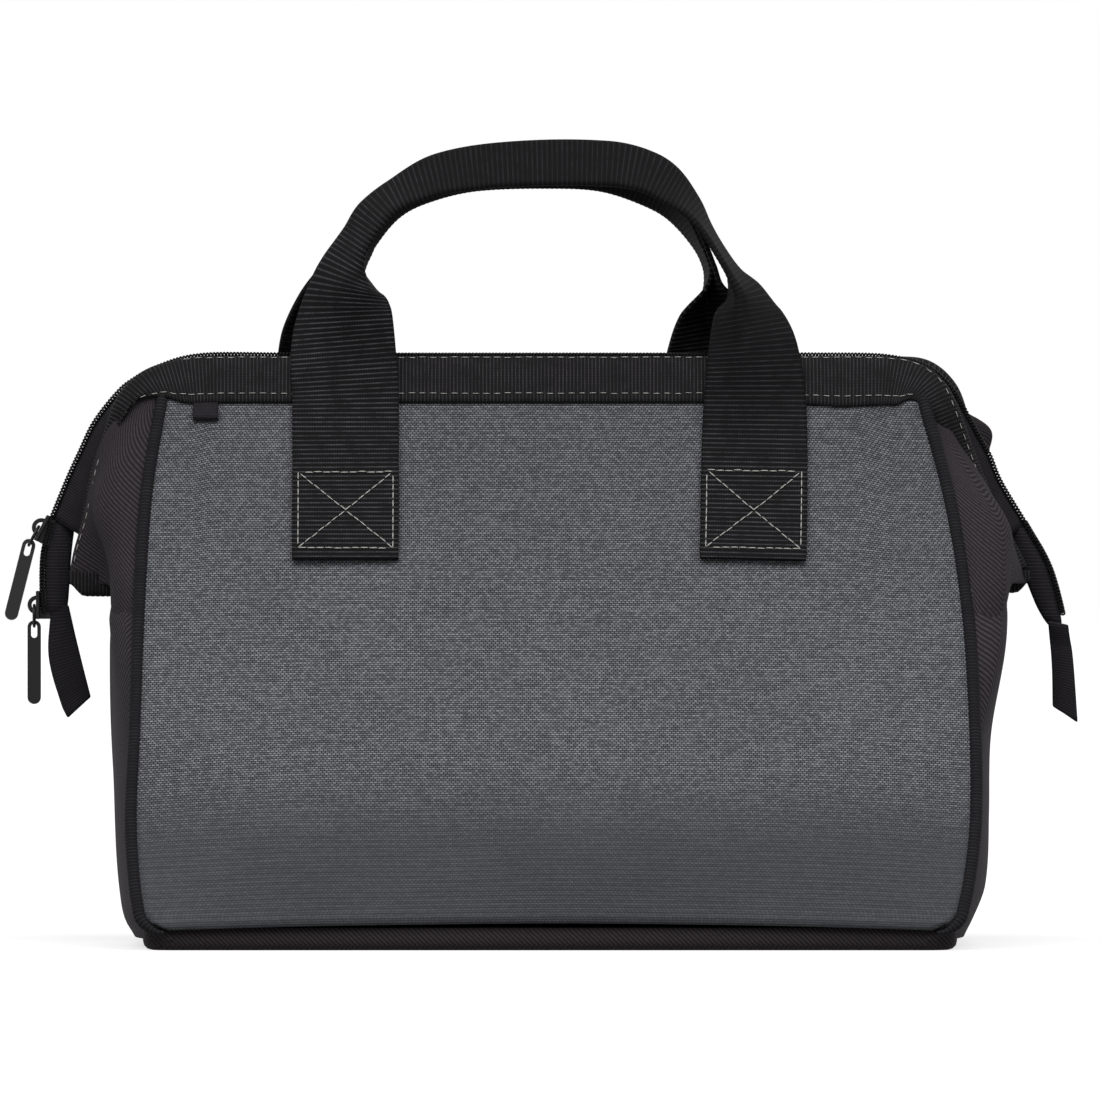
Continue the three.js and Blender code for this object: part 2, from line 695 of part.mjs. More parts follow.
// The small folded loop below the rim
function smallLoop() {
  const top = PANEL_TOP_AT - SEAT_GAP;
  const shape = new THREE.Shape();
  shape.moveTo(LOOP_X - LOOP_WIDTH / 2, top - LOOP_HEIGHT);
  shape.lineTo(LOOP_X + LOOP_WIDTH / 2, top - LOOP_HEIGHT);
  shape.lineTo(LOOP_X + LOOP_WIDTH / 2, top);
  shape.lineTo(LOOP_X - LOOP_WIDTH / 2, top);
  return upright(shape, LOOP_THICKNESS).translate(0, -PANEL_THICKNESS - SEAT_GAP, 0);
}

// One half of the bag. The rear half is the same, turned about Z, so its left is the bag's right.
function makeHalf(name, facing, handleSpan, handleCentre) {
  const half = new THREE.Group();
  half.rotation.z = facing > 0 ? 0 : Math.PI;
  const panel = new THREE.Group();
  panel.position.set(0, -SEAM_Y, SEAM_Z);
  panel.rotation.x = -LEAN;
  const frame = new THREE.Group();
  frame.position.z = BAR_AT;
  frame.rotation.x = FRAME_TILT;
  half.add(panel);
  panel.add(frame);

  addPiece(panel, `${name}_panel`, panelSheet(), greyCloth);
  const bindingAlong = bindingSection(BINDING_HALF, BAR_AT + BINDING_ABOVE, BINDING_BELOW - BAR_AT);
  const topBinding = alongX(bindingAlong, -BAR_HALF + RUNNING_GAP, BAR_HALF - RUNNING_GAP);
  addPiece(panel, `${name}_rim_binding`, topBinding, blackWebbing);
  addPiece(half, `${name}_zip_tape`, topTape(), blackWebbing);
  addPiece(half, `${name}_zip_coil`, topCoil(), blackCoil);
  addPiece(frame, `${name}_frame_wire`, frameWire(), springSteel);

  for (const side of [-1, 1]) {
    const hand = side * facing < 0 ? "left" : "right";
    const tuckX = facing > 0 ? FRONT_TUCK_X : REAR_TUCK_X;
    const tuckStart = side > 0 ? tuckX - GUSSET_THICKNESS : -tuckX;
    addPiece(panel, `${name}_${hand}_piping`, sidePiping(side), blackWebbing);
    addPiece(half, `${name}_${hand}_gusset`, upperGusset(side), blackCloth);
    addPiece(half, `${name}_${hand}_gusset_tuck`, gussetTuck(tuckStart), blackCloth);
    addPiece(frame, `${name}_${hand}_leg_binding`, legBinding(side), blackWebbing);
    addPiece(frame, `${name}_${hand}_leg_tape`, legTape(side), blackWebbing);
    addPiece(frame, `${name}_${hand}_leg_coil`, legCoil(side), blackCoil);
    const footCentre = handleCentre * facing + (side * handleSpan) / 2;
    addPiece(panel, `${name}_${hand}_handle_foot`, handleFoot(footCentre), blackWebbing);
  }

  const footTop = BAR_AT + FOOT_TOP_ABOVE_BAR + SEAT_GAP;
  const [footY, footZ] = leaning(-BINDING_HALF - SEAT_GAP - STRAP_THICKNESS, footTop);
  const carry = addPiece(half, `${name}_handle`, handle(handleSpan, { y: footY, z: footZ }), blackWebbing);
  carry.position.x = handleCentre * facing;
  return half;
}

// Ends of the mouth

function hingeFold(side) {
  const wall = BINDING_THICKNESS;
  const shape = new THREE.Shape();
  shape.moveTo(side * FOLD_INNER_X, FOLD_BOTTOM);
  shape.lineTo(side * FOLD_OUTER_X, FOLD_BOTTOM);
  shape.lineTo(side * FOLD_OUTER_X, FOLD_WALL_TOP);
  shape.lineTo(side * (FOLD_OUTER_X - wall), FOLD_WALL_TOP);
  shape.lineTo(side * (FOLD_OUTER_X - wall), FOLD_BOTTOM + wall);
  shape.lineTo(side * FOLD_INNER_X, FOLD_BOTTOM + wall);
  return upright(shape, FOLD_HALF_DEPTH * 2).translate(0, FOLD_HALF_DEPTH, 0);
}

// Line of the coil on the sloping side, in the upright frame
const slopeX = (z) => {
  const end = sideStations(COIL_RADIUS, COIL_TURN, COIL_DROP, 1, 1)[2];
  return end.x + (RIM_Z + end.z - z) / Math.tan(COIL_TURN);
};

// How far the right tail leans outward at a height
const tailLean = (side, z) => (side > 0 ? (RIGHT_TAIL_LEAN * (TAIL_TOP - z)) / TAIL_LENGTH : 0);

// The closed end of the zip past the mouth: two tapes with their coils, sewn together at the bottom
function zipTail(side) {
  const coilHalf = COIL_HEIGHT / 2;
  const levels = [];
  const steps = 2 * Math.round((TAIL_TOP - TAIL_BOTTOM) / TOOTH_PITCH);
  for (let i = 0; i <= steps; i += 1) levels.push(TAIL_BOTTOM + ((TAIL_TOP - TAIL_BOTTOM) * i) / steps);
  const strip = (sign) => {
    const rings = levels.map((z, i) => {
      const innerX = TAIL_INNER_X + tailLean(side, z);
      const coilX = Math.min(TAIL_COIL_X + tailLean(side, z), slopeX(z));
      const reach = i % 2 ? TAIL_TOOTH_REACH : TAIL_COIL_GAP;
      const inside = TAIL_COIL_INSIDE;
      const section = [
        [innerX, inside], [coilX - coilHalf, inside], [coilX - coilHalf, reach], [coilX + coilHalf, reach],
        [coilX + coilHalf, COIL_BACK], [innerX, COIL_BACK],
      ];
      return section.map(([x, y]) => [side * x, sign * y, z]);
    });
    return loft(rings, [[0, 1], [2, 1], [2, 0], [3, 0], [3, 2], [0, 2]]);
  };
  const width = TAIL_COIL_X + coilHalf - TAIL_INNER_X;
  const middle = TAIL_INNER_X + tailLean(side, TAIL_BOTTOM) + width / 2;
  const end = new THREE.BoxGeometry(width, COIL_BACK * 2, TAIL_END);
  end.translate(side * middle, 0, TAIL_BOTTOM + TAIL_END / 2);
  return joined(strip(-1), strip(1), end);
}

// A folded tab of webbing. Its top is round about the line that it swings on.
function endTab(side) {
  const half = TAB_WIDTH / 2;
  const drop = TAB_LENGTH - half;
  const shape = new THREE.Shape();
  shape.absarc(0, 0, half, 0, Math.PI);
  shape.lineTo(-half, side > 0 ? -drop + half : -drop);
  shape.lineTo(half, side > 0 ? -drop : -drop + half);
  return upright(shape, TAB_THICKNESS, 8).translate(0, TAB_THICKNESS / 2, 0);
}

// Zip sliders. Local Z runs up the zip, local X faces out of the mouth.

const BRIDGE_AT = SLIDER_SLOT + SLIDER_PLATE - BRIDGE_SUNK;
const RING_TOP = -0.1;
const PULL_PIVOT_X = BRIDGE_AT + RING_OUT;
const PULL_PIVOT_Z = RING_TOP - 2 * RING_RADIUS;

function sliderBody() {
  const [inner, outer] = [-SLIDER_SLOT, SLIDER_SLOT];
  const post = SLIDER_POST_HALF;
  const narrow = SLIDER_POST_HALF + SLIDER_NECK;
  const shape = new THREE.Shape([
    [inner - SLIDER_PLATE, -narrow], [inner, -narrow], [inner, -post],
    [outer, -post], [outer, -SLIDER_HALF_WIDTH], [outer + SLIDER_PLATE, -SLIDER_HALF_WIDTH],
    [outer + SLIDER_PLATE, SLIDER_HALF_WIDTH], [outer, SLIDER_HALF_WIDTH], [outer, post],
    [inner, post], [inner, narrow], [inner - SLIDER_PLATE, narrow],
  ].map(([x, y]) => new THREE.Vector2(x, y)));
  const body = extrude(shape, SLIDER_LENGTH).translate(0, 0, -SLIDER_LENGTH / 2);
  const arch = new THREE.Shape();
  arch.absarc(0, 0, BRIDGE_RADIUS, 0, Math.PI);
  arch.absarc(0, 0, BRIDGE_RADIUS - BRIDGE_BAR, Math.PI, 0, true);
  const bridge = upright(arch, BRIDGE_BAR, 10).translate(0, BRIDGE_BAR / 2, 0);
  bridge.rotateY(Math.PI / 2).translate(BRIDGE_AT, 0, 0);
  return joined(body, bridge);
}

// The ring that hangs in the slider's bridge
function pullRing() {
  const ring = new THREE.TorusGeometry(RING_RADIUS, RING_BAR / 2, 6, 18);
  return ring.rotateY(Math.PI / 2).translate(PULL_PIVOT_X, 0, RING_TOP - RING_RADIUS);
}

// The slotted pull, hung on the ring's lowest point
function pullPlate() {
  const radius = PULL_WIDTH / 2;
  const top = RING_BAR / 2 + PULL_PLAY + PULL_EYE;
  const shape = new THREE.Shape();
  shape.absarc(0, top - radius, radius, 0, Math.PI);
  shape.absarc(0, top - PULL_LENGTH + radius, radius, Math.PI, Math.PI * 2);
  const slot = new THREE.Path();
  const slotRadius = PULL_SLOT_WIDTH / 2;
  const slotTop = top - PULL_EYE - slotRadius;
  slot.absarc(0, slotTop, slotRadius, 0, Math.PI);
  slot.absarc(0, slotTop - PULL_SLOT_LENGTH + PULL_SLOT_WIDTH, slotRadius, Math.PI, Math.PI * 2);
  shape.holes.push(slot);
  return upright(shape, PULL_THICKNESS, 5).translate(0, PULL_THICKNESS / 2, 0);
}

// Both sliders stand at the left end: their local X faces the bag's left.
function addSlider(name, x, z, slope, pullAngle, pullForward) {
  const facingLeft = new THREE.Group();
  facingLeft.rotation.z = Math.PI;
  const slider = new THREE.Group();
  slider.position.set(x, 0, z);
  slider.rotation.y = -slope;
  facingLeft.add(slider);
  addPiece(slider, `${name}_slider`, sliderBody(), blackMetal);
  addPiece(slider, `${name}_pull_ring`, pullRing(), blackMetal);
  const pull = addPiece(slider, `${name}_pull`, pullPlate(), blackMetal);
  pull.position.set(PULL_PIVOT_X, 0, PULL_PIVOT_Z);
  pull.rotation.order = "YXZ";
  pull.rotation.y = slope - pullAngle;
  pull.rotation.x = pullForward;
  bag.add(facingLeft);
}

addPiece(bag, "bottom_panel", bottomPanel(), blackCloth);
addPiece(bag, "base_board", baseBoard(), boardPlastic);
bag.add(makeHalf("front", 1, FRONT_HANDLE_SPAN, FRONT_HANDLE_CENTRE));
bag.add(makeHalf("rear", -1, REAR_HANDLE_SPAN, REAR_HANDLE_CENTRE));

for (const [hand, side] of [["left", -1], ["right", 1]]) {
  addPiece(bag, `${hand}_end_panel`, endPanel(side), blackCloth);
  addPiece(bag, `${hand}_hinge_fold`, hingeFold(side), blackWebbing);
  addPiece(bag, `${hand}_zip_tail`, zipTail(side), blackCoil);
  const tab = addPiece(bag, `${hand}_end_tab`, endTab(side), blackWebbing);
  const inward = side < 0 ? LEFT_TAB_IN : RIGHT_TAB_IN;
  const hingeX = side * (TAIL_COIL_X + tailLean(side, TAIL_BOTTOM) - inward);
  tab.position.set(hingeX, 0, TAIL_BOTTOM - TAB_WIDTH / 2 - SEAT_GAP);
  tab.rotation.y = side < 0 ? LEFT_TAB_ANGLE : RIGHT_TAB_ANGLE;
}

const zipSlope = Math.PI / 2 - COIL_TURN;
addSlider("upper", slopeX(UPPER_SLIDER_Z), UPPER_SLIDER_Z, zipSlope, UPPER_PULL_ANGLE, UPPER_PULL_FORWARD);
addSlider("lower", TAIL_COIL_X, LOWER_SLIDER_Z, 0, 0, 0);

const frontPanelGroup = bag.getObjectByName("front_panel").parent;
addPiece(frontPanelGroup, "small_loop", smallLoop(), blackWebbing);

export default bag;
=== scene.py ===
# %% [markdown]
# # A zippered tool bag
# The bag is sewn from flat cloth round two bent steel wires. Each half has a grey panel that leans
# inward, a ribbed webbing folded over its wire, one half of a zip and a carry handle. The wires'
# legs turn down at the corners and end in an ear at each side, where the mouth hinges open.
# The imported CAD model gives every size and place. This script dresses it: it lays cloth grids on
# the same surfaces, bends them as the sewing does, and gives each its woven finish.

# %% Load the frame
import json
import math
import random

import bmesh
import bpy
from mathutils import Matrix, Vector


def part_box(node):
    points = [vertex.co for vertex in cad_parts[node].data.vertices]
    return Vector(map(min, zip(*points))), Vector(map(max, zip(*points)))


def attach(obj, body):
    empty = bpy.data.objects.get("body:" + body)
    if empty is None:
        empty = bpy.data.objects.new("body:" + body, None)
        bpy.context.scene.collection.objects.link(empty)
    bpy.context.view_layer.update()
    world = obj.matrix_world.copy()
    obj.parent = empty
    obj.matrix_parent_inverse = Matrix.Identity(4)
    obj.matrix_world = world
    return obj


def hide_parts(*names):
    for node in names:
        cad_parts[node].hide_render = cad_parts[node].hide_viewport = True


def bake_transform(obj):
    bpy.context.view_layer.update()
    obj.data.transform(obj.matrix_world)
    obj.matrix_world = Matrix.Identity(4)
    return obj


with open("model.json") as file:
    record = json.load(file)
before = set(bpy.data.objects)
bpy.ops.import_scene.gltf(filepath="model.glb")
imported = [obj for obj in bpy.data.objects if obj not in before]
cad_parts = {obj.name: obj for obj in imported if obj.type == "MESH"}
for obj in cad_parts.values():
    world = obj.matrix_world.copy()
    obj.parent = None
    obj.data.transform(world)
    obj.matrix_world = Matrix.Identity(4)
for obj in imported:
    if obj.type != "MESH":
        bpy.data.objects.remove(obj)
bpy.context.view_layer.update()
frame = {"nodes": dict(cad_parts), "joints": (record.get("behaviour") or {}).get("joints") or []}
MM = 0.001
joints = {joint["name"]: joint for joint in frame["joints"]}

# %% [markdown]
# ## Places taken from the joints
# The panels hinge at their bottom seams and the wires turn in the rim. Those two joint lines give
# the lean of the panels, so every cloth below is placed from them and from the boxes of the nodes.

# %% Lines of the bag, in millimetres
SEAM_Y, SEAM_Z = (c / MM for c in joints["mouth_open"]["pos_m"][1:])
BAR_Y, BAR_Z = (c / MM for c in joints["front_frame_turn"]["pos_m"][1:])
LEAN = math.atan2(BAR_Y - SEAM_Y, BAR_Z - SEAM_Z)
SLOPE = math.hypot(BAR_Y - SEAM_Y, BAR_Z - SEAM_Z)
LEG_TILT = math.radians(2)
RIM_HALF = 74
CORNER_FROM, CORNER_TO = 118, 148
print("lean", round(math.degrees(LEAN), 1), "slope length", round(SLOPE, 1))
HALVES = ("front", "rear")
SIDES = {"left": -1, "right": 1}
CORNERS = [(half, side) for half in HALVES for side in (-1, 1)]


# %% [markdown]
# ## Helpers for places
# A sewn surface is easiest to describe in its own flat measure: how far across, how far up, and
# how far out from the sheet. These functions turn that measure into a point of the bag.


# %% Turn flat measures into points
def smooth(share):
    share = max(0.0, min(1.0, share))
    return share * share * (3 - 2 * share)


def mix(a, b, share):
    return a + (b - a) * share


def curve_through(points, place):
    """The value at a place on a smooth curve through (place, value) pairs."""
    if place <= points[0][0]:
        return points[0][1]
    for i in range(len(points) - 1):
        (x0, y0), (x1, y1) = points[i], points[i + 1]
        if place <= x1:
            before = points[max(i - 1, 0)]
            after = points[min(i + 2, len(points) - 1)]
            slope0 = (y1 - before[1]) / max(x1 - before[0], 1e-6)
            slope1 = (after[1] - y0) / max(after[0] - x0, 1e-6)
            t, span = (place - x0) / (x1 - x0), x1 - x0
            return (
                y0 * (2 * t**3 - 3 * t**2 + 1) + slope0 * span * (t**3 - 2 * t**2 + t)
                + y1 * (3 * t**2 - 2 * t**3) + slope1 * span * (t**3 - t**2)
            )
    return points[-1][1]


def columns_at(rows, place):
    """The values of a table's other columns, at a place in its first column."""
    places, *columns = zip(*rows)
    return [curve_through(list(zip(places, column)), place) for column in columns]


def on_lean(x, up, out, angle=LEAN):
    """A point at a height over the bar and out from a sheet that leans by an angle."""
    y = BAR_Y + up * math.sin(angle) - out * math.cos(angle)
    return x, y, BAR_Z + up * math.cos(angle) + out * math.sin(angle)


def on_panel(x, at, out):
    """A point of the front panel: across, up the slope from the seam, and out."""
    return on_lean(x, at - SLOPE, out)


# %% [markdown]
# ## Lines of the corners
# In the photograph the two corners differ: the left one stands full, and the right one sags inward
# and then runs out to its ear. So each corner is a line of points, read from the picture, for the
# middle of the wire and for the middle of the zip. A line gives its points by length.


# %% Lines through points
class Line:
    """A smooth line through (across, height) points, measured by its length."""

    def __init__(self, points):
        rows = [(mark, *point) for mark, point in enumerate(points)]
        places = [columns_at(rows, step / 24) for step in range(24 * (len(points) - 1) + 1)]
        self.samples = [(0.0, *places[0])]
        for last, here in zip(places, places[1:]):
            self.samples.append((self.samples[-1][0] + math.dist(last, here), *here))
        self.length = self.samples[-1][0]

    def at(self, length):
        """Across, height and the outward direction at a length."""
        length = max(0.0, min(self.length, length))
        low = 0
        while low < len(self.samples) - 2 and self.samples[low + 1][0] < length:
            low += 1
        (s0, x0, z0), (s1, x1, z1) = self.samples[low], self.samples[low + 1]
        share = (length - s0) / max(s1 - s0, 1e-9)
        run = math.hypot(x1 - x0, z1 - z0)
        return mix(x0, x1, share), mix(z0, z1, share), -(z1 - z0) / run, (x1 - x0) / run


LEFT_LEG = Line([(74, 203), (92, 203), (110, 203), (124, 202.8), (133, 201.6), (142.4, 198),
                 (149.6, 190.4), (155.4, 179.8), (159.4, 169.4), (162, 157), (164.4, 144.5), (166.4, 132)])
RIGHT_LEG = Line([(74, 203), (92, 203), (110, 203), (122, 202.6), (130.5, 200.2), (136, 195),
                  (140.5, 185.5), (145, 173.5), (149.8, 161.5), (157, 146), (164, 132)])
REAR_LEFT_LEG = Line([(74, 203), (92, 203), (110, 203), (124, 202.7), (133.6, 200.4), (141.5, 195.4),
                      (147.6, 186.9), (151.4, 177.4), (155, 166), (158.2, 154),
                      (160.8, 143), (163.6, 132)])
REAR_RIGHT_LEG = Line([(74, 203), (92, 203), (110, 203), (124, 203), (133, 202), (139, 196.6),
                       (142, 190), (143.6, 182), (146.6, 173), (150.6, 161.5), (157, 146), (164, 132)])
LEFT_ZIP = Line([(74, 210.4), (96, 210.4), (114, 210.6), (124, 210.3), (132.5, 208.9), (141.6, 205.6),
                 (148, 202.2), (154.2, 197.4), (162.8, 186.6), (168.2, 175.6), (172.6, 166),
                 (178.4, 152)])
RIGHT_ZIP = Line([(74, 210.4), (96, 210.4), (116, 210.2), (126.4, 208.9), (132.6, 207.2), (138.7, 203.7),
                  (144.8, 196.9), (149.6, 188.4), (154.3, 179.8), (157.4, 174.2), (161.2, 165),
                  (170.2, 150)])
TWIST = {LEFT_LEG: (64, 94), RIGHT_LEG: (56, 88), REAR_LEFT_LEG: (64, 94), REAR_RIGHT_LEG: (58, 92)}
FLAP = {
    LEFT_LEG: [(0, 1), (50, 1), (56, 0.97), (60, 0.88), (65, 0.64), (69.5, 0.43), (73, 0.2), (76, 0.02),
               (82, -0.1), (140, -0.3)],
    RIGHT_LEG: [(0, 1), (20, 1.08), (30, 1.14), (40, 1.1), (48, 1.06), (53, 1), (57, 0.85), (60.5, 0.66),
                (64.5, 0.5), (75, 0.3), (88, 0.04), (101, -0.25), (140, -0.3)],
    REAR_LEFT_LEG: [(0, 1), (50, 1), (60, 0.7), (70, 0.4), (80, 0.2), (100, 0), (140, -0.2)],
    REAR_RIGHT_LEG: [(0, 1), (47, 1), (57, 0.55), (75, 0.3), (100, 0), (140, -0.2)],
}
LEG_LINES = {
    ("front", -1): LEFT_LEG, ("front", 1): RIGHT_LEG,
    ("rear", -1): REAR_RIGHT_LEG, ("rear", 1): REAR_LEFT_LEG,
}
ZIP_LINES = {"left": LEFT_ZIP, "right": RIGHT_ZIP}


def corner_hand(half, side):
    """The bag's own side: the rear half is the front half turned round."""
    return "left" if (side < 0) == (half == "front") else "right"


print("lengths of the legs:", round(LEFT_LEG.length, 1), round(RIGHT_LEG.length, 1))

# %% [markdown]
# ## Helpers for meshes
# Each cloth starts as a flat grid from Blender's grid operator. Its UV map is written before it is
# bent, in millimetres of flat cloth, so the weave keeps its size and follows every bend.


# %% Make a mesh object from a flat grid
HALF_TURN = Matrix.Diagonal((-1.0, -1.0, 1.0, 1.0))


def finish_mesh(made, name, looks, smooth_faces=True):
    mesh = bpy.data.meshes.new(name)
    for face in made.faces:
        face.smooth = smooth_faces
    made.to_mesh(mesh)
    made.free()
    piece = bpy.data.objects.new(name, mesh)
    bpy.context.scene.collection.objects.link(piece)
    for look in looks if isinstance(looks, list) else [looks]:
        mesh.materials.append(look)
    return piece


def make_piece(name, made, looks, body, slot, *nodes, thickness=0.0, offset=-1.0, inside=0):
    """A mesh becomes a piece on one body, in place of its CAD nodes. A piece given two bodies to blend
    between is only left where it stands.
    """
    piece = finish_mesh(made, name, looks)
    if thickness:
        solid = piece.modifiers.new("thickness", "SOLIDIFY")
        solid.thickness = thickness * MM
        solid.offset = offset
        solid.use_even_offset = False
        solid.material_offset = inside
    if isinstance(body, str):
        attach(piece, body)
    else:
        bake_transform(piece)
    if nodes:
        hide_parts(*nodes)
    return piece


def face_towards(made, direction, judged=None):
    """Turns the faces round if, on the whole, they or the judged ones look away."""
    made.normal_update()
    total = sum((face.normal * face.calc_area() for face in judged or made.faces), Vector())
    if total.dot(Vector(direction)) < 0:
        bmesh.ops.reverse_faces(made, faces=made.faces[:])


def cloth_grid(columns, rows, place, flat, outward=(0, 0, 0), half="front", closed=False):
    """A grid whose corners go to place(u, v), in mm, with flat(u, v) as UV."""
    made = bmesh.new()
    layer = made.loops.layers.uv.new("flat_cloth")
    bmesh.ops.create_grid(made, x_segments=columns, y_segments=rows, size=0.5)
    for face in made.faces:
        for loop in face.loops:
            loop[layer].uv = flat(loop.vert.co.x + 0.5, loop.vert.co.y + 0.5)
    turn = -MM if half == "rear" else MM
    for vert in made.verts:
        x, y, z = place(vert.co.x + 0.5, vert.co.y + 0.5)
        vert.co = (turn * x, turn * y, MM * z)
    if closed:
        bmesh.ops.remove_doubles(made, verts=made.verts[:], dist=0.02 * MM)
        bmesh.ops.recalc_face_normals(made, faces=made.faces[:])
    face_towards(made, (turn * outward[0], turn * outward[1], MM * outward[2]))
    return made


def round_edges(made, edges, size, segments):
    bmesh.ops.bevel(
        made, geom=edges, offset=size * MM, offset_type="OFFSET", segments=segments, profile=0.5,
        affect="EDGES", clamp_overlap=True, material=-1,
    )


def copies(shape, places, half="front"):
    """One small mesh, copied to many places."""
    made = bmesh.new()
    for place in places:
        copy = shape.copy()
        copy.transform(HALF_TURN @ place if half == "rear" else place)
        made.from_mesh(copy)
        bpy.data.meshes.remove(copy)
    return made


# %% [markdown]
# ## Colours and nodes
# Colours are written as the sRGB hex values that a picture shows, and turned to linear light for
# the shader. One small function adds any node. Most materials end alike: a tint between two
# shades, and a bump.


# %% Colour and node helpers
def colour(hex_value):
    """sRGB hex to linear RGBA."""
    channels = [int(hex_value[i : i + 2], 16) / 255 for i in (1, 3, 5)]
    linear = [c / 12.92 if c <= 0.04045 else ((c + 0.055) / 1.055) ** 2.4 for c in channels]
    return (*linear, 1.0)


def add(tree, kind, inputs=None, **settings):
    """Adds a shader node with its settings, and with values or other nodes on its inputs."""
    made = tree.nodes.new("ShaderNode" + kind)
    for name, value in settings.items():
        setattr(made, name, value)
    for socket, value in (inputs or {}).items():
        if isinstance(value, bpy.types.Node):
            value = value.outputs[0]
        if isinstance(value, bpy.types.NodeSocket):
            tree.links.new(value, made.inputs[socket])
        else:
            made.inputs[socket].default_value = value
    return made


def start_material(name, roughness, gloss=0.15):
    material = bpy.data.materials.new(name)
    material.use_nodes = True
    shader = material.node_tree.nodes["Principled BSDF"]
    shader.inputs["Roughness"].default_value = roughness
    shader.inputs["Specular IOR Level"].default_value = gloss
    return material, material.node_tree, shader


def wave_scale(pitch):
    """The Wave texture's scale for bands of a pitch in the mapped unit."""
    return 2 * math.pi / 20 / pitch


def end_material(tree, shader, hexes, share, height, strength, depth):
    """A tint from the first shade to the second by a share, and a bump that is so many mm deep."""
    low, high = (colour(one) for one in hexes)
    tint = add(tree, "Mix", {"Factor": share, "A": low, "B": high}, data_type="RGBA")
    tree.links.new(tint.outputs["Result"], shader.inputs["Base Color"])
    bump = add(tree, "Bump", {"Height": height, "Strength": strength, "Distance": depth * MM})
    tree.links.new(bump.outputs[0], shader.inputs["Normal"])


# %% [markdown]
# ## Grey ballistic polyester
# The panels are a coarse polyester plain weave in slate grey. Thick yarns cross at right angles,
# and each crossing catches a fleck of light. The flecks stand 1.43 mm apart. Their rows are really
# 0.65 mm apart and are drawn at 0.85 mm, because closer rows would blur together in the picture. A
# Brick texture with a half-step offset has the same over-and-under layout. Low down, where the cloth
# turns under, shade is painted: the flecks fade into a flat, darker grey. Near the rim the colour is
# darkened too, as painted shade under the rim.

# %% Grey cloth
FLECK_WIDTH, FLECK_ROW = 1.43, 0.85
MAPPED = ("Value", "From Min", "From Max", "To Min", "To Max")


def cloth_uv(tree):
    return add(tree, "UVMap", uv_map="flat_cloth").outputs["UV"]


def grey_ballistic():
    material, tree, shader = start_material("grey_ballistic_polyester", 0.88)
    uv = cloth_uv(tree)
    weave = add(
        tree, "TexBrick",
        {"Vector": uv, "Scale": 1.0, "Brick Width": FLECK_WIDTH, "Row Height": FLECK_ROW,
         "Mortar Size": 0.3, "Mortar Smooth": 1.0, "Bias": 0.0,
         "Color1": colour("#5c5d61"), "Color2": colour("#7d7e83"), "Mortar": colour("#040405")},
        offset=0.5,
    )
    stretched = add(tree, "Mapping", {"Vector": uv, "Scale": (0.045, 0.55, 1.0)})
    slub = add(tree, "TexNoise", {"Vector": stretched, "Scale": 1.0, "Detail": 2.0})
    cloud = add(tree, "TexNoise", {"Vector": uv, "Scale": 0.018, "Detail": 2.0})
    rows = add(
        tree, "TexWave",
        {"Vector": uv, "Scale": wave_scale(1.9), "Distortion": 1.6, "Detail": 2.0, "Detail Scale": 0.25},
        bands_direction="Y",
    )
    height = add(tree, "SeparateXYZ", {0: uv}).outputs["Y"]
    light = 1.0
    # Slubs, rows and soft clouds vary the yarn's tone. The last factor is painted shade: the panel darkens
    # by an eighth from 120 mm up the slope to 200 mm, under the rim.
    for mapped in (
        (slub.outputs["Fac"], 0.35, 0.65, 0.94, 1.06), (rows.outputs["Fac"], 0, 1, 0.87, 1.13),
        (cloud.outputs["Fac"], 0.3, 0.7, 0.95, 1.05), (height, 120, 200, 1.0, 0.88),
    ):
        share = add(tree, "MapRange", dict(zip(MAPPED, mapped)))
        light = add(tree, "Math", {0: light, 1: share}, operation="MULTIPLY")
    # Painted shade low down: below 62 mm up the slope the flecks fade into a flat, darker grey, keeping 22
    # % of their contrast at 22 mm.
    low_shade_fade = dict(zip(MAPPED, (height, 22, 62, 0.22, 1.0)))
    flecks = add(tree, "MapRange", low_shade_fade, interpolation_type="SMOOTHSTEP")
    shades = {"Factor": flecks, "A": colour("#3d3e41"), "B": weave}
    weave_with_low_shade = add(tree, "Mix", shades, data_type="RGBA").outputs["Result"]
    shade = add(tree, "VectorMath", {0: weave_with_low_shade, "Scale": light}, operation="SCALE")
    tree.links.new(shade.outputs[0], shader.inputs["Base Color"])
    raised = {"Height": weave.outputs["Fac"], "Strength": 0.4, "Distance": 0.2 * MM}
    bump = add(tree, "Bump", raised, invert=True)
    tree.links.new(bump.outputs[0], shader.inputs["Normal"])
    return material


# %% [markdown]
# ## Black cloths
# The gussets, the end walls, the lining and the base are black polyester twill, whose fine diagonal
# lines come from one wave at 45 degrees. The webbing is thicker: its weft makes ribs straight across
# the strap, 1.75 mm apart, and a thin bright thread of light is painted on each rib as a highlight.
# The rim, the piping and the zip tapes have narrower ribs.

# %% Black twill, webbing and tape
RIB = 1.75
RIM_RIB = 1.3
GRIP_MIDDLE = 224


def black_twill(name, hexes, pitch):
    material, tree, shader = start_material(name, 0.9)
    uv = cloth_uv(tree)
    lines = add(
        tree, "TexWave",
        {"Vector": uv, "Scale": wave_scale(pitch), "Distortion": 0.6, "Detail": 1.0, "Detail Scale": 0.4},
        bands_direction="DIAGONAL",
    )
    grain = add(tree, "TexNoise", {"Vector": uv, "Scale": 0.9, "Detail": 4.0, "Roughness": 0.7})
    shares = {0: lines.outputs["Fac"], 1: grain.outputs["Fac"]}
    share = add(tree, "Math", shares, operation="MULTIPLY")
    end_material(tree, shader, hexes, share, share, 0.5, 0.25)
    return material


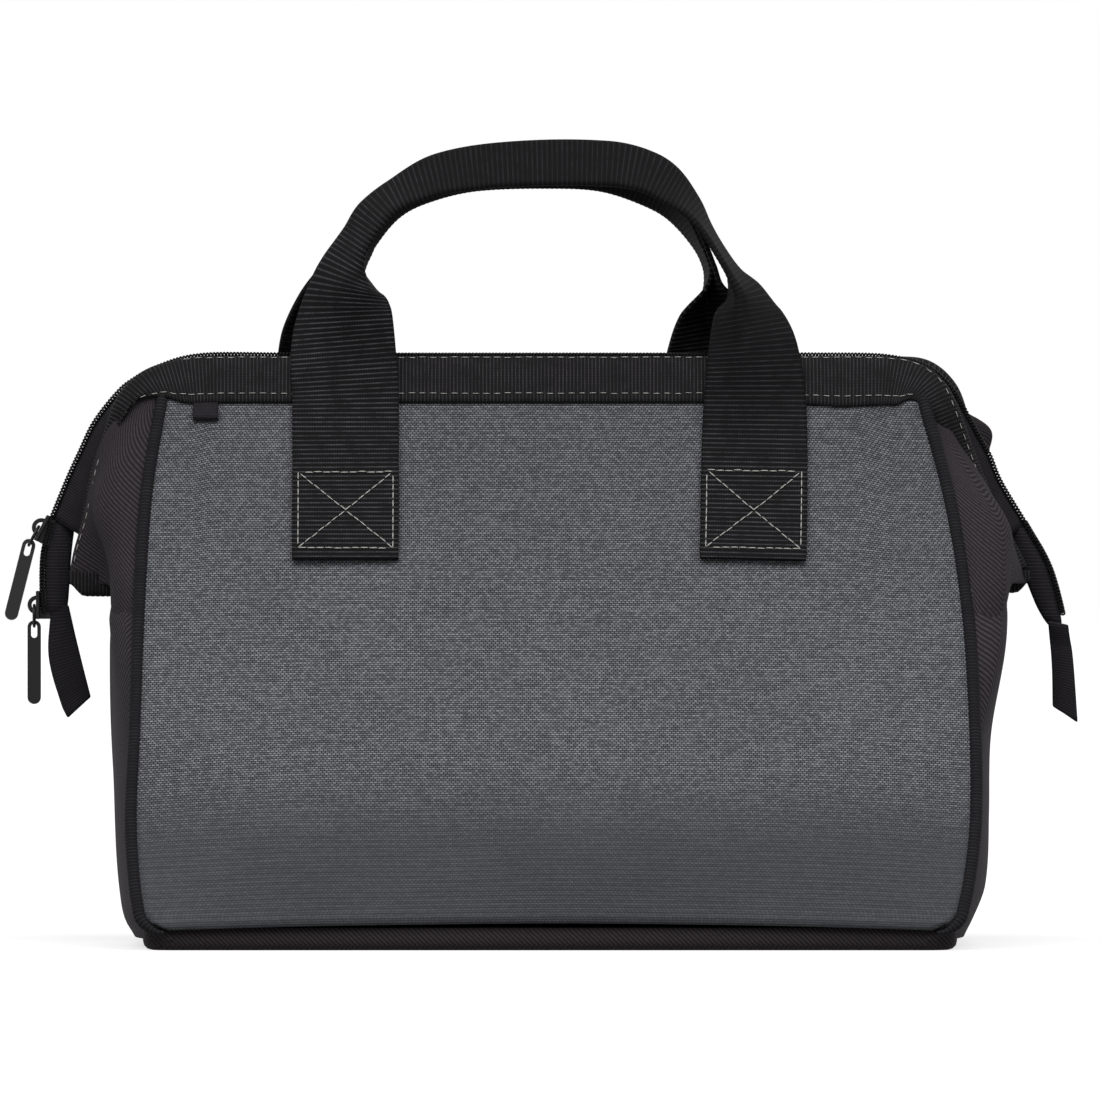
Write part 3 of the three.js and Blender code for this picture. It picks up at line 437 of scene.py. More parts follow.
def ribbed_webbing(name, hexes, pitch, grip=None):
    """Ribs lie across the strap, along U, each with a painted highlight. The highlight is dimmed in soft
    patches and round the length of a grip.
    """
    material, tree, shader = start_material(name, 0.78, 0.07)
    uv = cloth_uv(tree)
    ribs = add(
        tree, "TexWave",
        {"Vector": uv, "Scale": wave_scale(pitch), "Distortion": 0.35, "Detail": 1.0, "Detail Scale": 0.2},
        bands_direction="X",
    )
    yarn = {"Vector": uv, "Scale": wave_scale(0.9), "Distortion": 1.0, "Detail": 1.0}
    thread = add(tree, "TexWave", yarn, bands_direction="Y")
    dim_patches = add(tree, "TexNoise", {"Vector": uv, "Scale": 0.16, "Detail": 4.0, "Roughness": 0.65})
    # Painted highlight: the crest of each rib is tinted to the lighter shade, broken by the yarn.
    crest = add(tree, "Math", {0: ribs.outputs["Fac"], 1: 6.0}, operation="POWER")
    broken = add(tree, "MapRange", {"Value": thread.outputs["Fac"], "To Min": 0.45, "To Max": 1.0})
    share = add(tree, "Math", {0: crest, 1: broken}, operation="MULTIPLY")
    # The painted highlight is dimmed in soft patches and round the middle of a grip.
    dulled = [(dim_patches.outputs["Fac"], 0.35, 0.7, 0.25, 1.0)]
    if grip is not None:
        along = add(tree, "SeparateXYZ", {0: uv}).outputs["X"]
        away = add(tree, "Math", {0: along, 1: grip}, operation="SUBTRACT")
        away = add(tree, "Math", {0: away}, operation="ABSOLUTE")
        dulled.append((away, 70, 125, 0.25, 1.0))
    lit = share
    for mapped in dulled:
        patchy = add(tree, "MapRange", dict(zip(MAPPED, mapped)))
        lit = add(tree, "Math", {0: lit, 1: patchy}, operation="MULTIPLY")
    end_material(tree, shader, hexes, lit, share, 0.5, 0.3)
    return material


# %% [markdown]
# ## Thread, nylon, metal and board
# The stitches are off-white polyester thread. The zip's teeth are a black nylon coil with a soft
# shine. The sliders and pulls are zinc under satin black enamel with a fine grain. The frame wire
# is blued spring steel, and the base board is black polypropylene.


# %% Thread, nylon, metal and board
def plain_grain(name, hexes, roughness, scale, depth, metallic=0.0, gloss=0.2):
    """A moulded or drawn surface: two close shades and a fine grain."""
    material, tree, shader = start_material(name, roughness, gloss)
    shader.inputs["Metallic"].default_value = metallic
    place = add(tree, "TexCoord").outputs["Object"]
    grain = add(tree, "TexNoise", {"Vector": place, "Scale": scale, "Detail": 5.0, "Roughness": 0.6})
    end_material(tree, shader, hexes, grain.outputs["Fac"], grain.outputs["Fac"], 0.4, depth)
    return material


grey_cloth = grey_ballistic()
gusset_cloth_look = black_twill("black_polyester_twill", ("#171517", "#4a4449"), 0.88)
# Painted light: the end walls get a lighter copy of the gusset twill.
wall_cloth_look = black_twill("black_wall_twill", ("#1b191c", "#524c51"), 0.88)
base_cloth_look = black_twill("black_base_cloth", ("#171415", "#403b3c"), 0.88)
lining_cloth = black_twill("black_lining", ("#121113", "#242226"), 1.2)
# In each ribbed look the lighter shade is the painted highlight on the rib crests.
strap_webbing_look = ribbed_webbing("black_ribbed_webbing", ("#0d0c0d", "#57555b"), RIB, GRIP_MIDDLE)
rim_webbing_look = ribbed_webbing("black_rim_webbing", ("#131213", "#4a484c"), RIM_RIB)
piping_tape = ribbed_webbing("black_piping_tape", ("#151416", "#3a383c"), 1.2)
# The zip tape's shades are lighter, which paints the sheen seen on the zip tails; the tapes, tabs and loop
# share them.
zip_tape_look = ribbed_webbing("black_zip_tape", ("#1b191c", "#3c3a3f"), 1.0)
thread = plain_grain("offwhite_polyester_thread", ("#90908a", "#b4b4ae"), 0.8, 900, 0.1)
coil_nylon = plain_grain("black_nylon_coil", ("#060607", "#111112"), 0.65, 500, 0.05, gloss=0.12)
enamel = plain_grain("black_enamelled_zinc", ("#070708", "#101012"), 0.42, 700, 0.03, gloss=0.25)
steel = plain_grain("blued_spring_steel", ("#2a2b2e", "#37383b"), 0.42, 300, 0.02, 1.0, 0.3)
board = plain_grain("black_polypropylene", ("#19191a", "#242426"), 0.55, 400, 0.08, gloss=0.5)
print("materials:", len(bpy.data.materials))

# %% [markdown]
# ## Grey panels
# A panel is one cut of cloth: narrow at the rim, widest low down, with round bottom corners. On the
# real bag it bellies out a little over the base and tucks back in at the bottom seam, and small
# pulls run from the seam. A fine grid takes the outline, and then those soft shapes.

# %% Outline and belly of a panel
LEFT_EDGE = [(0, 143), (14, 145.3), (40, 147), (70, 146), (125, 144.6), (165, 142.4), (203, 137)]
RIGHT_EDGE = [(0, 143), (14, 146.4), (40, 149.4), (80, 149.3), (125, 146.6), (165, 140.6), (203, 131.6)]
PANEL_TOP = SLOPE - 6
PANEL_BOTTOM = -2
PANEL_FACE = 2.8
CORNER = 8


def seam_x(side, at):
    """Where the side seam lies, at a height up the slope."""
    edge = LEFT_EDGE if side < 0 else RIGHT_EDGE
    half = curve_through(edge, at)
    rise = (at - PANEL_BOTTOM) / CORNER
    if rise < 1:
        half -= CORNER * (1 - math.sqrt(max(0.0, 1 - (1 - rise) ** 2)))
    return side * half


BELLY = [(0, 0), (8, 2.4), (18, 5.2), (32, 7.8), (46, 8.8), (60, 8.5), (80, 6.2), (105, 3.4),
         (130, 1.6), (160, 0.5), (205, 0)]


def panel_belly(x, at):
    """How far the cloth stands out from the flat panel."""
    across = max(0.0, 1 - abs(x / 147) ** 3)
    wave = 3 * math.sin(x / 34 + 0.6) + 1.6 * math.sin(x / 13 + 2)
    full = curve_through(BELLY, at + wave * math.exp(-(((at - 40) / 24) ** 2)))
    pulls = 0.5 * math.sin(x / 17 + 1.1) * math.exp(-(((at - 22) / 16) ** 2))
    pulls += 0.35 * math.sin(x / 41 - at / 30) * smooth(at / 30) * smooth((190 - at) / 40)
    return across * (full + pulls)


def panel_place(u, v):
    """The cloth is cut lower at its top corners, and its bottom edge rises in the middle."""
    at = mix(PANEL_BOTTOM, PANEL_TOP, v)
    x = mix(seam_x(-1, at), seam_x(1, at), u)
    lowered = 2.2 * smooth((-120 - x) / 8) + 4.2 * smooth((x - 108) / 16)
    at -= lowered * smooth((v - 0.5) / 0.5)
    at += 2.2 * max(0.0, 1 - (x / 138) ** 2) * (1 - smooth(v / 0.2))
    return on_panel(x, at, PANEL_FACE + panel_belly(x, at))


def panel_flat(u, v):
    return (mix(-146, 146, u), mix(PANEL_BOTTOM, PANEL_TOP, v))


# %% Make both panels
for half in HALVES:
    made = cloth_grid(96, 72, panel_place, panel_flat, (0, -1, 0.4), half)
    make_piece(f"{half}_panel_cloth", made, [grey_cloth, lining_cloth], f"{half}_panel", "grey_cloth",
               f"{half}_panel", thickness=1.6, inside=1)

# %% [markdown]
# ## Piping
# A cord in a folded tape covers each side seam and turns the bottom corners. A grid is rolled into a
# tube round the seam line, and its long edges meet.

# %% Piping round the side seams
PIPE_RADIUS = 2.4
PIPE_START = PANEL_BOTTOM - 0.55 * CORNER


def seam_line(side, along):
    """Points down the side seam and round the bottom corner: across, and up the slope."""
    top = PANEL_BOTTOM + CORNER
    if along >= top:
        return seam_x(side, along), along
    angle = (top - along) / CORNER
    centre = seam_x(side, top) - side * CORNER
    return centre + side * CORNER * math.cos(angle), top - CORNER * math.sin(angle)


def add_piping(half, side):
    def place(u, v):
        x, at = seam_line(side, mix(PIPE_START, PANEL_TOP - 1, v))
        low_x, low_at = seam_line(side, mix(PIPE_START, PANEL_TOP - 1, v - 0.002))
        run = Vector((x - low_x, at - low_at)).normalized()
        away = Vector((run.y, -run.x)) * side
        angle = 2 * math.pi * u
        radius = PIPE_RADIUS * mix(0.35, 1, smooth(v / 0.05))
        reach = 1.2 + radius * math.cos(angle)
        out = PANEL_FACE - 1.2 + radius * math.sin(angle)
        return on_panel(x + away.x * reach, at + away.y * reach, out)

    made = cloth_grid(14, 90, place, lambda u, v: (PANEL_TOP * v, 15 * u), half=half, closed=True)
    name = f"{half}_{corner_hand(half, side)}_piping"
    make_piece(f"{name}_cord", made, piping_tape, f"{half}_panel", "piping", name)


for half, side in CORNERS:
    add_piping(half, side)

# %% [markdown]
# ## Rim webbing
# Webbing is folded over the wire and sewn through, front to back. Along the bar it leans with the
# panel, and at each corner it turns down the leg and twists upright. The ribs are real: every
# second row of the grid is raised, so they also show at a grazing angle.

# %% The folded section of the webbing
RIM_FOLD = [(0, -11.8, 3.9), (7.6, -4, 4.4), (11, 0, 4.5), (15.2, 4, 4.1), (17.6, 6.2, 2.9),
            (20.5, 7.3, 0), (23.4, 6.2, -2.9), (25.8, 4, -4), (30, 0, -4.3), (37, -8.4, -3.9)]
FOLD_LENGTH = RIM_FOLD[-1][0]
RIB_HEIGHT = 0.08
LEAST_BACK_FLAP = 0.45


def fold_point(v, row):
    """Height and reach of the folded webbing, raised on every second row of the grid."""
    up, out = columns_at(RIM_FOLD, FOLD_LENGTH * v)
    return up, out + RIB_HEIGHT * (row % 2) * (1 if out > 0 else -1)


def on_corner(half, side, length, up, out):
    """A point round a corner: a length down its line, and up and out from the wire.

    Below the wire the webbing's two flaps shorten down the leg, and the left rim narrows above it.
    """
    line = LEG_LINES[half, side]
    x, z, away_x, away_up = line.at(length)
    start, end = TWIST[line]
    if up < 0:
        share = curve_through(FLAP[line], length)
        up *= share if out > 0 else max(share, LEAST_BACK_FLAP)
    elif line is LEFT_LEG:
        up *= mix(1, 0.62, smooth((length - 76) / 20))
    angle = mix(LEAN, -LEG_TILT, smooth((length - start) / (end - start)))
    return on_lean(side * (x + up * away_x), z - BAR_Z + up * away_up, out, angle)


def corner_blend(half, hand, start=CORNER_FROM, end=CORNER_TO):
    """The panel and the frame of its wire, with the span of the corner between them, for a cloth that
    passes round the corner.
    """
    way = SIDES[hand] * MM
    return f"{half}_panel", f"{half}_frame", (way * start, 0, 0), (way * end, 0, 0)


def add_fold(name, half, length, point, outward, body):
    """Webbing folded along a length, with point(s, up, out) to place it."""
    rows = 2 * round(length / RIM_RIB)

    def place(u, v):
        return point(length * u, *fold_point(v, round(u * rows)))

    made = cloth_grid(rows, 22, place, lambda u, v: (length * u, FOLD_LENGTH * v), outward, half)
    make_piece(f"{name}_webbing", made, rim_webbing_look, body, "black_webbing", f"{name}_binding",
               thickness=1.1)


# %% Webbing along the bar, round the corners and down the legs
for half in HALVES:
    add_fold(f"{half}_rim", half, 2 * RIM_HALF, lambda s, up, out: on_lean(s - RIM_HALF, up, out),
             (0, -0.2, 1), f"{half}_panel")
    for side in (-1, 1):
        hand = corner_hand(half, side)
        add_fold(f"{half}_{hand}_leg", half, LEG_LINES[half, side].length,
                 lambda s, up, out: on_corner(half, side, s, up, out), (side, -0.3, 0.5),
                 corner_blend(half, hand))

# %% [markdown]
# ## Zip tapes and teeth
# Each zip tape is sewn inside the rim webbing and rises to the middle of the bag, where the two
# rows of teeth meet. The teeth are one nylon coil. One loop of it is a small flattened ring, and it
# is repeated along the line. The pitch is 1.2 mm, a little more than on the real zip.

# %% Zip tapes
TAPE_SECTION = [(0, -5.2, -9.2), (1, 0.5, -7.4), (2, 4.6, -4.6), (3, 7.2, -1.3)]
COIL_PITCH = 1.2
COIL_Y = -1.1
COIL_SLANT = 0.28


def add_tape(name, half, columns, rows, place, flat, outward, body):
    made = cloth_grid(columns, rows, place, flat, outward, half)
    make_piece(f"{name}_cloth", made, zip_tape_look, body, "zip_tape", name, thickness=0.8)


def add_zip_tape(half):
    def place(u, v):
        up, y = columns_at(TAPE_SECTION, 3 * v)
        return mix(-RIM_HALF, RIM_HALF, u), y, BAR_Z + up

    add_tape(f"{half}_zip_tape", half, 60, 8, place, lambda u, v: (RIM_HALF * 2 * u, 14 * v),
             (0, -1, 0.5), f"{half}_panel")


def add_leg_tape(half, side):
    """The tape from inside the leg's webbing, short of its end, out to the teeth."""
    hand = corner_hand(half, side)
    inner, outer = LEG_LINES[half, side], ZIP_LINES[hand]

    def place(u, v):
        x0, y0, z0 = on_corner(half, side, inner.length * 0.92 * u, -3, -4.6)
        x1, z1, away_x, away_up = outer.at(outer.length * u)
        x1, z1 = side * (x1 - 0.3 * away_x), z1 - 0.3 * away_up
        bow = 1.6 * math.sin(math.pi * v)
        return mix(x0, x1, v), mix(y0, -1.3, v) - bow, mix(z0, z1, v)

    add_tape(f"{half}_{hand}_leg_tape", half, 48, 10, place, lambda u, v: (inner.length * u, 16 * v),
             (0, -1, 0), corner_blend(half, hand))


# %% One loop of the coil, and rows of loops
def ring_mesh(across, along, wire):
    """A flattened ring: its ends stand across the tape, and its wire is thin."""
    made = bmesh.new()
    bmesh.ops.create_circle(made, segments=5, radius=wire * MM)
    around = made.edges[:]
    bmesh.ops.translate(made, verts=made.verts[:], vec=(1, 0, 0))
    upright = Matrix.Rotation(math.pi / 2, 3, "X")
    bmesh.ops.rotate(made, verts=made.verts[:], matrix=upright, cent=(1, 0, 0))
    bmesh.ops.spin(
        made, geom=made.verts[:] + around, cent=(0, 0, 0), axis=(0, 0, 1), angle=2 * math.pi,
        steps=8, use_merge=True, use_duplicate=False,
    )
    for vert in made.verts:
        flat = vert.co.copy()
        flat.z = 0
        direction = flat.normalized()
        rise = flat.length - 1
        vert.co.x = direction.x * (across * MM + rise)
        vert.co.y = direction.y * (along * MM + rise)
    bmesh.ops.recalc_face_normals(made, faces=made.faces[:])
    mesh = bpy.data.meshes.new("ring")
    made.to_mesh(mesh)
    made.free()
    return mesh


def frame_matrix(centre, along, across):
    """Places a small mesh: its Z goes along, and its X goes across."""
    along = Vector(along).normalized()
    third = along.cross(Vector(across)).normalized()
    first = third.cross(along)
    turned = Matrix((first, third, along)).transposed().to_4x4()
    return Matrix.Translation(Vector(centre) * MM) @ turned


coil_ring = ring_mesh(1.6, 0.75, 0.34)


def coil_places(line, start, end, side, y):
    places = []
    for i in range(round((end - start) / COIL_PITCH)):
        x, z, away_x, away_up = line.at(start + (i + 0.5) * COIL_PITCH)
        along = (side * away_up, COIL_SLANT, -away_x)
        places.append(frame_matrix((side * x, y, z), along, (0, 1, 0)))
    return places


def add_coil(name, places, body, *nodes, half="front"):
    made = copies(coil_ring, places, half)
    make_piece(f"{name}_coil_loops", made, coil_nylon, body, "zip_coil", *nodes)


def add_zip_coils(half):
    places = []
    for i in range(round(RIM_HALF * 2 / COIL_PITCH)):
        x = -RIM_HALF + (i + 0.5) * COIL_PITCH
        places.append(frame_matrix((x, COIL_Y, BAR_Z + 7.3), (1, COIL_SLANT, 0), (0, 1, 0)))
    add_coil(f"{half}_zip", places, f"{half}_panel", f"{half}_zip_coil", half=half)
    for side in (-1, 1):
        hand = corner_hand(half, side)
        places = coil_places(ZIP_LINES[hand], 0, ZIP_LINES[hand].length, side, COIL_Y)
        add_coil(f"{half}_{hand}_leg", places, corner_blend(half, hand), f"{half}_{hand}_leg_coil",
                 half=half)


for half in HALVES:
    add_zip_tape(half)
    add_zip_coils(half)
    for side in (-1, 1):
        add_leg_tape(half, side)

# %% [markdown]
# ## Frame wires
# The spring-steel wire lies inside the webbing and gives the mouth its shape. It is a thin tube
# along the bar and both legs. Webbing hides it, and it shows only where a fold gapes.


# %% Wires
WIRE_RADIUS = 1.9


def add_wire(half):
    left, right = LEG_LINES[half, -1], LEG_LINES[half, 1]

    def spine(t):
        if t < 1:
            return on_corner(half, -1, left.length * (1 - t), 0, 0)
        if t > 2:
            return on_corner(half, 1, right.length * (t - 2), 0, 0)
        return on_lean(mix(-RIM_HALF, RIM_HALF, t - 1), 0, 0)

    def place(u, v):
        t = 3 * v
        run = (Vector(spine(min(3, t + 0.01))) - Vector(spine(max(0, t - 0.01)))).normalized()
        away = run.cross(Vector((0, 1, 0))).normalized()
        angle = 2 * math.pi * u
        round_it = away * math.cos(angle) + run.cross(away) * math.sin(angle)
        return Vector(spine(t)) + round_it * WIRE_RADIUS

    made = cloth_grid(8, 120, place, lambda u, v: (u, v), half=half, closed=True)
    make_piece(f"{half}_frame_rod", made, steel, f"{half}_frame", "spring_steel", f"{half}_frame_wire")


for half in HALVES:
    add_wire(half)

# %% [markdown]
# ## Gussets
# Between the side seam and the leg the twill bulges out, folds, and runs to the stitch line on the
# ear. The two sides of the photograph differ, so each has its own rows of points: a height, and
# four places between the seam and the leg. A smooth curve passes through each row.

# %% Rows of the gussets: height, then across and y of four places
LEFT_GUSSET = [
    (116, 151, -46, 156, -38, 157, -19, 171.5, -13.6),
    (130, 151.5, -42, 156.2, -34, 157.6, -18, 171.7, -13.8),
    (140, 152.6, -37, 158.2, -29, 159.6, -18, 170.3, -14.2),
    (151.7, 153.6, -32.5, 161, -25, 162.8, -18, 166.9, -14.8),
    (161, 153.5, -29, 160.4, -22.6, 163, -18, 165, -15.2),
    (171, 152.5, -25, 157.8, -20.5, 160.5, -17.6, 162.8, -15.6),
    (181, 148.5, -21, 152.8, -18.6, 156.4, -17.2, 159.6, -16),
    (189, 144, -18, 148, -17, 151.4, -16.4, 154, -15.8),
    (199, 138.6, -15.8, 141, -15.4, 143, -15, 144.6, -14.6),
]
RIGHT_GUSSET = [
    (116, 153, -50, 160.4, -45, 162.8, -33, 170, -14.5),
    (127, 153, -47, 161.3, -42, 164.2, -31, 170.6, -14.5),
    (134, 153, -44, 161.6, -39, 165, -29, 168.6, -14.8),
    (141.6, 152.6, -40.5, 161.4, -35.5, 165.1, -26, 166, -15),
    (149, 151.6, -36.5, 160, -31.5, 163.9, -24, 163.6, -15.2),
    (156, 149.6, -32.5, 156.8, -28, 160.3, -22.5, 160, -15.6),
    (163, 147, -28.5, 151.8, -25, 155.6, -21, 156.6, -16.4),
    (170, 143.6, -24.6, 147.6, -22, 150.6, -19.8, 152.4, -16.8),
    (180, 138.5, -20.2, 141.2, -18.9, 143.4, -18, 145.4, -16.8),
    (194, 134.2, -16.4, 135.6, -16, 137, -15.6, 138.6, -15.4),
]
REAR_RIGHT_GUSSET = [row for row in RIGHT_GUSSET if row[0] < 165] + [
    (170, 144, -25, 149.6, -23.6, 154, -21, 152.2, -16.8),
    (177, 141.4, -23, 150, -25, 158, -22.6, 147.6, -16.8),
    (185, 138.6, -20.6, 147.4, -22.6, 157, -20.6, 144.4, -16.4),
    (194, 134.2, -17.4, 137.6, -17.6, 141, -17, 140.6, -15.4),
]
GUSSETS = {
    ("front", -1): LEFT_GUSSET, ("front", 1): RIGHT_GUSSET,
    ("rear", -1): REAR_RIGHT_GUSSET, ("rear", 1): LEFT_GUSSET,
}
GUSSET_MARKS = (0, 0.28, 0.52, 0.7, 1)
GUSSET_LOW = 114


def gusset_points(rows, z):
    """The four places of a gusset at a height, as (across, y) pairs."""
    values = columns_at(rows, z)
    return list(zip(values[::2], values[1::2]))


def add_gusset(half, side):
    """A gusset starts low at its seam, and higher up beside the ear."""
    rows = GUSSETS[half, side]
    ear, top, blended = (128.5, 197, (147, 163)) if rows is LEFT_GUSSET else (129, 192.5, (136, 160))

    def place(u, v):
        z = mix(mix(GUSSET_LOW, ear, smooth((u - 0.5) / 0.22)), top, v)
        at = (z - SEAM_Z) / math.cos(LEAN)
        seam = on_panel(seam_x(side, at), at, 1.2)
        points = [(abs(seam[0]), seam[1]), *gusset_points(rows, z)]
        x, y = columns_at([(mark, *point) for mark, point in zip(GUSSET_MARKS, points)], u)
        crease = 0.35 * math.sin(z / 5 + 3 * u) * math.sin(math.pi * u)
        sunk = 0.35 * (1 - smooth((z - GUSSET_LOW) / 9)) * (u < 0.72)
        return side * (x + crease - sunk), y + sunk, z

    made = cloth_grid(40, 56, place, lambda u, v: (side * 34 * u, 78 * v), (side, -1, 0), half)
    hand = corner_hand(half, side)
    make_piece(f"{half}_{hand}_gusset_cloth", made, gusset_cloth_look, corner_blend(half, hand, *blended),
               "black_cloth", f"{half}_{hand}_gusset", thickness=1.0)


for half, side in CORNERS:
    add_gusset(half, side)

# %% [markdown]
# ## End walls and their tucks
# An end wall is twill between the two side seams, and it bellies outward, most of all at mid-height.
# When the mouth opens, the panels swing away and the ears rise. So a wall is made as a front and a
# rear half that meet in the middle, each shaped where the closed bag has it. Behind them lies slack
# cloth, which on the bag unfolds upward with the ear, and a tuck of each panel closes the fold at its
# seam.


# %% End walls
def wall_half(z):
    """How far the side seam stands from the middle, front to back, at a height."""
    return -(SEAM_Y + (z - SEAM_Z) * math.tan(LEAN)) - 1


WALL_REACH = {
    "left": [(3, 147.4), (9, 151), (16, 152.8), (34, 154.9), (62, 156.2), (105, 157.4), (122, 156.4),
             (129, 156)],
    "right": [(3, 147), (9, 150), (22, 155.2), (48, 157), (76, 157.2), (94.7, 158.8), (110, 160.6),
              (124, 162), (129, 162.4)],
}
WALL_LOW, WALL_TOP = 3.5, 127.4
WALL_BLEND = (2, 40)
RISER_LOW, RISER_TOP = 56, 129
RISER_BLEND = (60, 112)
TUCK_LOW, TUCK_TOP = 30, 116


def gusset_foot(half, side, z):
    """The seam and the three gusset places beside it, carried down the wall as far as z."""
    rows = GUSSETS[half, side]
    kept = max(z, rows[0][0])
    at, kept_at = ((height - SEAM_Z) / math.cos(LEAN) for height in (z, kept))
    seam, kept_seam = on_panel(seam_x(side, at), at, 1.2), on_panel(seam_x(side, kept_at), kept_at, 1.2)
    moved_x, moved_y = abs(seam[0]) - abs(kept_seam[0]) - 0.1 * (kept - z), seam[1] - kept_seam[1]
    beside = [(x + moved_x, y + moved_y) for x, y in gusset_points(rows, kept)[:3]]
    return [(abs(seam[0]), seam[1]), *beside]


def wall_section(side, z, reach):
    """The wall's curve at a height, as rows of share, across and y."""
    front = gusset_foot("front", side, z)
    rear = [(x, -y) for x, y in gusset_foot("rear", -side, z)][::-1]
    half_width = wall_half(z)
    shares = [(y / half_width + 1) / 2 for x, y in front + rear]
    marks = [max(0.025 * i, share) for i, share in enumerate(shares[:4])] + [0.5]
    marks += [min(0.925 + 0.025 * i, share) for i, share in enumerate(shares[4:])]
    return [(mark, *point) for mark, point in zip(marks, [*front, (reach, 0), *rear])]


def wall_point(side, hand, u, z):
    """The wall's surface: u runs from the front seam to the rear one."""
    half_width = wall_half(z)
    y = mix(-half_width, half_width, u)
    at = (z - SEAM_Z) / math.cos(LEAN)
    edge = abs(mix(seam_x(side, at), -seam_x(-side, at), u)) - 1
    reach = curve_through(WALL_REACH[hand], z)
    ripple = 0.5 * math.sin(7 * u + z / 21) * math.sin(math.pi * u)
    x = edge + (reach - edge) * (1 - abs(2 * u - 1) ** 4) + ripple
    across, depth = columns_at(wall_section(side, z, reach), u)
    share = smooth((z - 58) / 58)
    return mix(x, across, share), mix(y, depth, share)


def add_wall_half(hand, half):
    """Half of an end wall, shaped where the closed bag has it, from its panel's seam to the middle."""
    side, front = SIDES[hand], half == "front"

    def place(u, v):
        z = mix(WALL_LOW, WALL_TOP, v)
        x, y = wall_point(side, hand, 0.5 * u if front else 1 - 0.5 * u, z)
        sunk = mix(-0.15, 0.8, smooth((z - 116) / 7))
        return side * (x - sunk), y, z

    made = cloth_grid(40, 56, place, lambda u, v: (92 * u, 120 * v), (side, 0, 0))
    way = 1 if front else -1
    start, end = (
        (0, way * (SEAM_Y + reach * math.cos(LEAN)) * MM, (SEAM_Z - reach * math.sin(LEAN)) * MM)
        for reach in WALL_BLEND
    )
    nodes = [f"{hand}_end_panel"] if front else []
    make_piece(f"{hand}_{half}_end_wall", made, wall_cloth_look, (f"{half}_panel", "base", start, end),
               "black_cloth", *nodes, thickness=1.1)


def add_riser(hand):
    """The slack cloth behind the wall, which on the bag unfolds upward with the ear; it is made only in
    its closed shape.
    """
    side, inward = SIDES[hand], {"left": 8, "right": 13}[hand]

    def place(u, v):
        z = mix(RISER_LOW, RISER_TOP, v)
        x, y = wall_point(side, hand, mix(0.05, 0.95, u), min(z, 122))
        sunk = 3.4 + inward * smooth((z - 98) / 31) * (1 - 0.6 * abs(2 * u - 1))
        return side * (x - sunk), 0.93 * y, z

    made = cloth_grid(40, 44, place, lambda u, v: (180 * u, 126 * v), (side, 0, 0))
    blend = ("base", "mouth_ends", *((0, 0, z * MM) for z in RISER_BLEND))
    make_piece(f"{hand}_riser_cloth", made, wall_cloth_look, blend, "black_cloth", thickness=0.8)


def add_tuck(half, side):
    """The CAD sheet's outline, as a grid that waves a little."""
    inset = {"front": 141, "rear": 137.6}[half]

    def place(u, v):
        z = mix(TUCK_LOW, TUCK_TOP, v)
        front = SEAM_Y + (z - SEAM_Z) * math.tan(LEAN) + 1.2
        back = mix(SEAM_Y + 40, 25, smooth(v * 1.15))
        wave = 0.4 * math.sin(5 * u + 4 * v) * u
        return side * (inset + wave), mix(front, back, u), z

    made = cloth_grid(20, 24, place, lambda u, v: (60 * u, 86 * v), (side, 0, 0), half)
    name = f"{half}_{corner_hand(half, side)}"
    make_piece(f"{name}_tuck_cloth", made, gusset_cloth_look, f"{half}_panel", "black_cloth",
               f"{name}_gusset_tuck", thickness=1.0, offset=0)


for hand in SIDES:
    add_riser(hand)
    for half in HALVES:
        add_wall_half(hand, half)
for half, side in CORNERS:
    add_tuck(half, side)

# %% [markdown]
# ## Ear hems
# Under each ear a band of ribbed webbing is folded up round the raw edges of the twill, like a
# trough. Its bottom is flat. Its front and back lips rise 7 to 9 mm, and its outer end stands
# higher, where the zip tail is sewn to it.


# %% Ear hems
HEM_INNER, HEM_OUTER = 155.2, 171.8


def add_ear_hem(hand):
    side, underside = SIDES[hand], {"left": 124.2, "right": 125.4}[hand]
    lip = [(0, -15.4, 132.4), (0.24, -15.6, underside + 1.8), (0.34, -13.4, underside),
           (0.66, 13.4, underside), (0.76, 15.6, underside + 1.8), (1, 15.4, 132.4)]
    ribs = 2 * round((HEM_OUTER - HEM_INNER) / RIB)

    def place(u, v):
        y, z = columns_at(lip, v)
        raised = 0.16 * (round(u * ribs) % 2)
        z += 1.2 * smooth(u) * (1 if z > underside + 3 else 0.3)
        z = max(z, underside + 4.5 * smooth((u - 0.55) / 0.45) ** 2)
        x = side * mix(HEM_INNER, HEM_OUTER, u)
        return x, y * (1 + raised / 12), z - raised * (z < underside + 2)

    made = cloth_grid(ribs, 24, place, lambda u, v: (17 * u, 40 * v), (0, 0, -1))
    make_piece(f"{hand}_ear_hem", made, rim_webbing_look, "mouth_ends", "black_webbing",
               f"{hand}_hinge_fold", thickness=1.2)


for hand in SIDES:
    add_ear_hem(hand)

# %% [markdown]
# ## Zip tails
# Past the ears the closed zip runs on as a free tail. Both tapes are folded round it and sewn, so
# the tail is a flat, soft tube of black tape with the coil along its outer edge.

# %% Tails: height, inner edge and outer edge
TAIL_ROWS = {
    "left": [(116.6, 174.6, 178.8), (118, 173.4, 180.2), (121, 172.6, 180.6), (128, 172, 180.9),
             (138.6, 171.3, 180.6), (145, 170.6, 179.2), (152, 169.6, 177), (160, 167.4, 173)],
    "right": [(112.8, 179.6, 182.4), (114.4, 177.8, 183.2), (120, 174.4, 182.2), (128.6, 170.8, 180),
              (137, 167.4, 177), (144.7, 165, 172.6), (151.5, 162.6, 168.6), (160, 159.4, 163.4)],
}


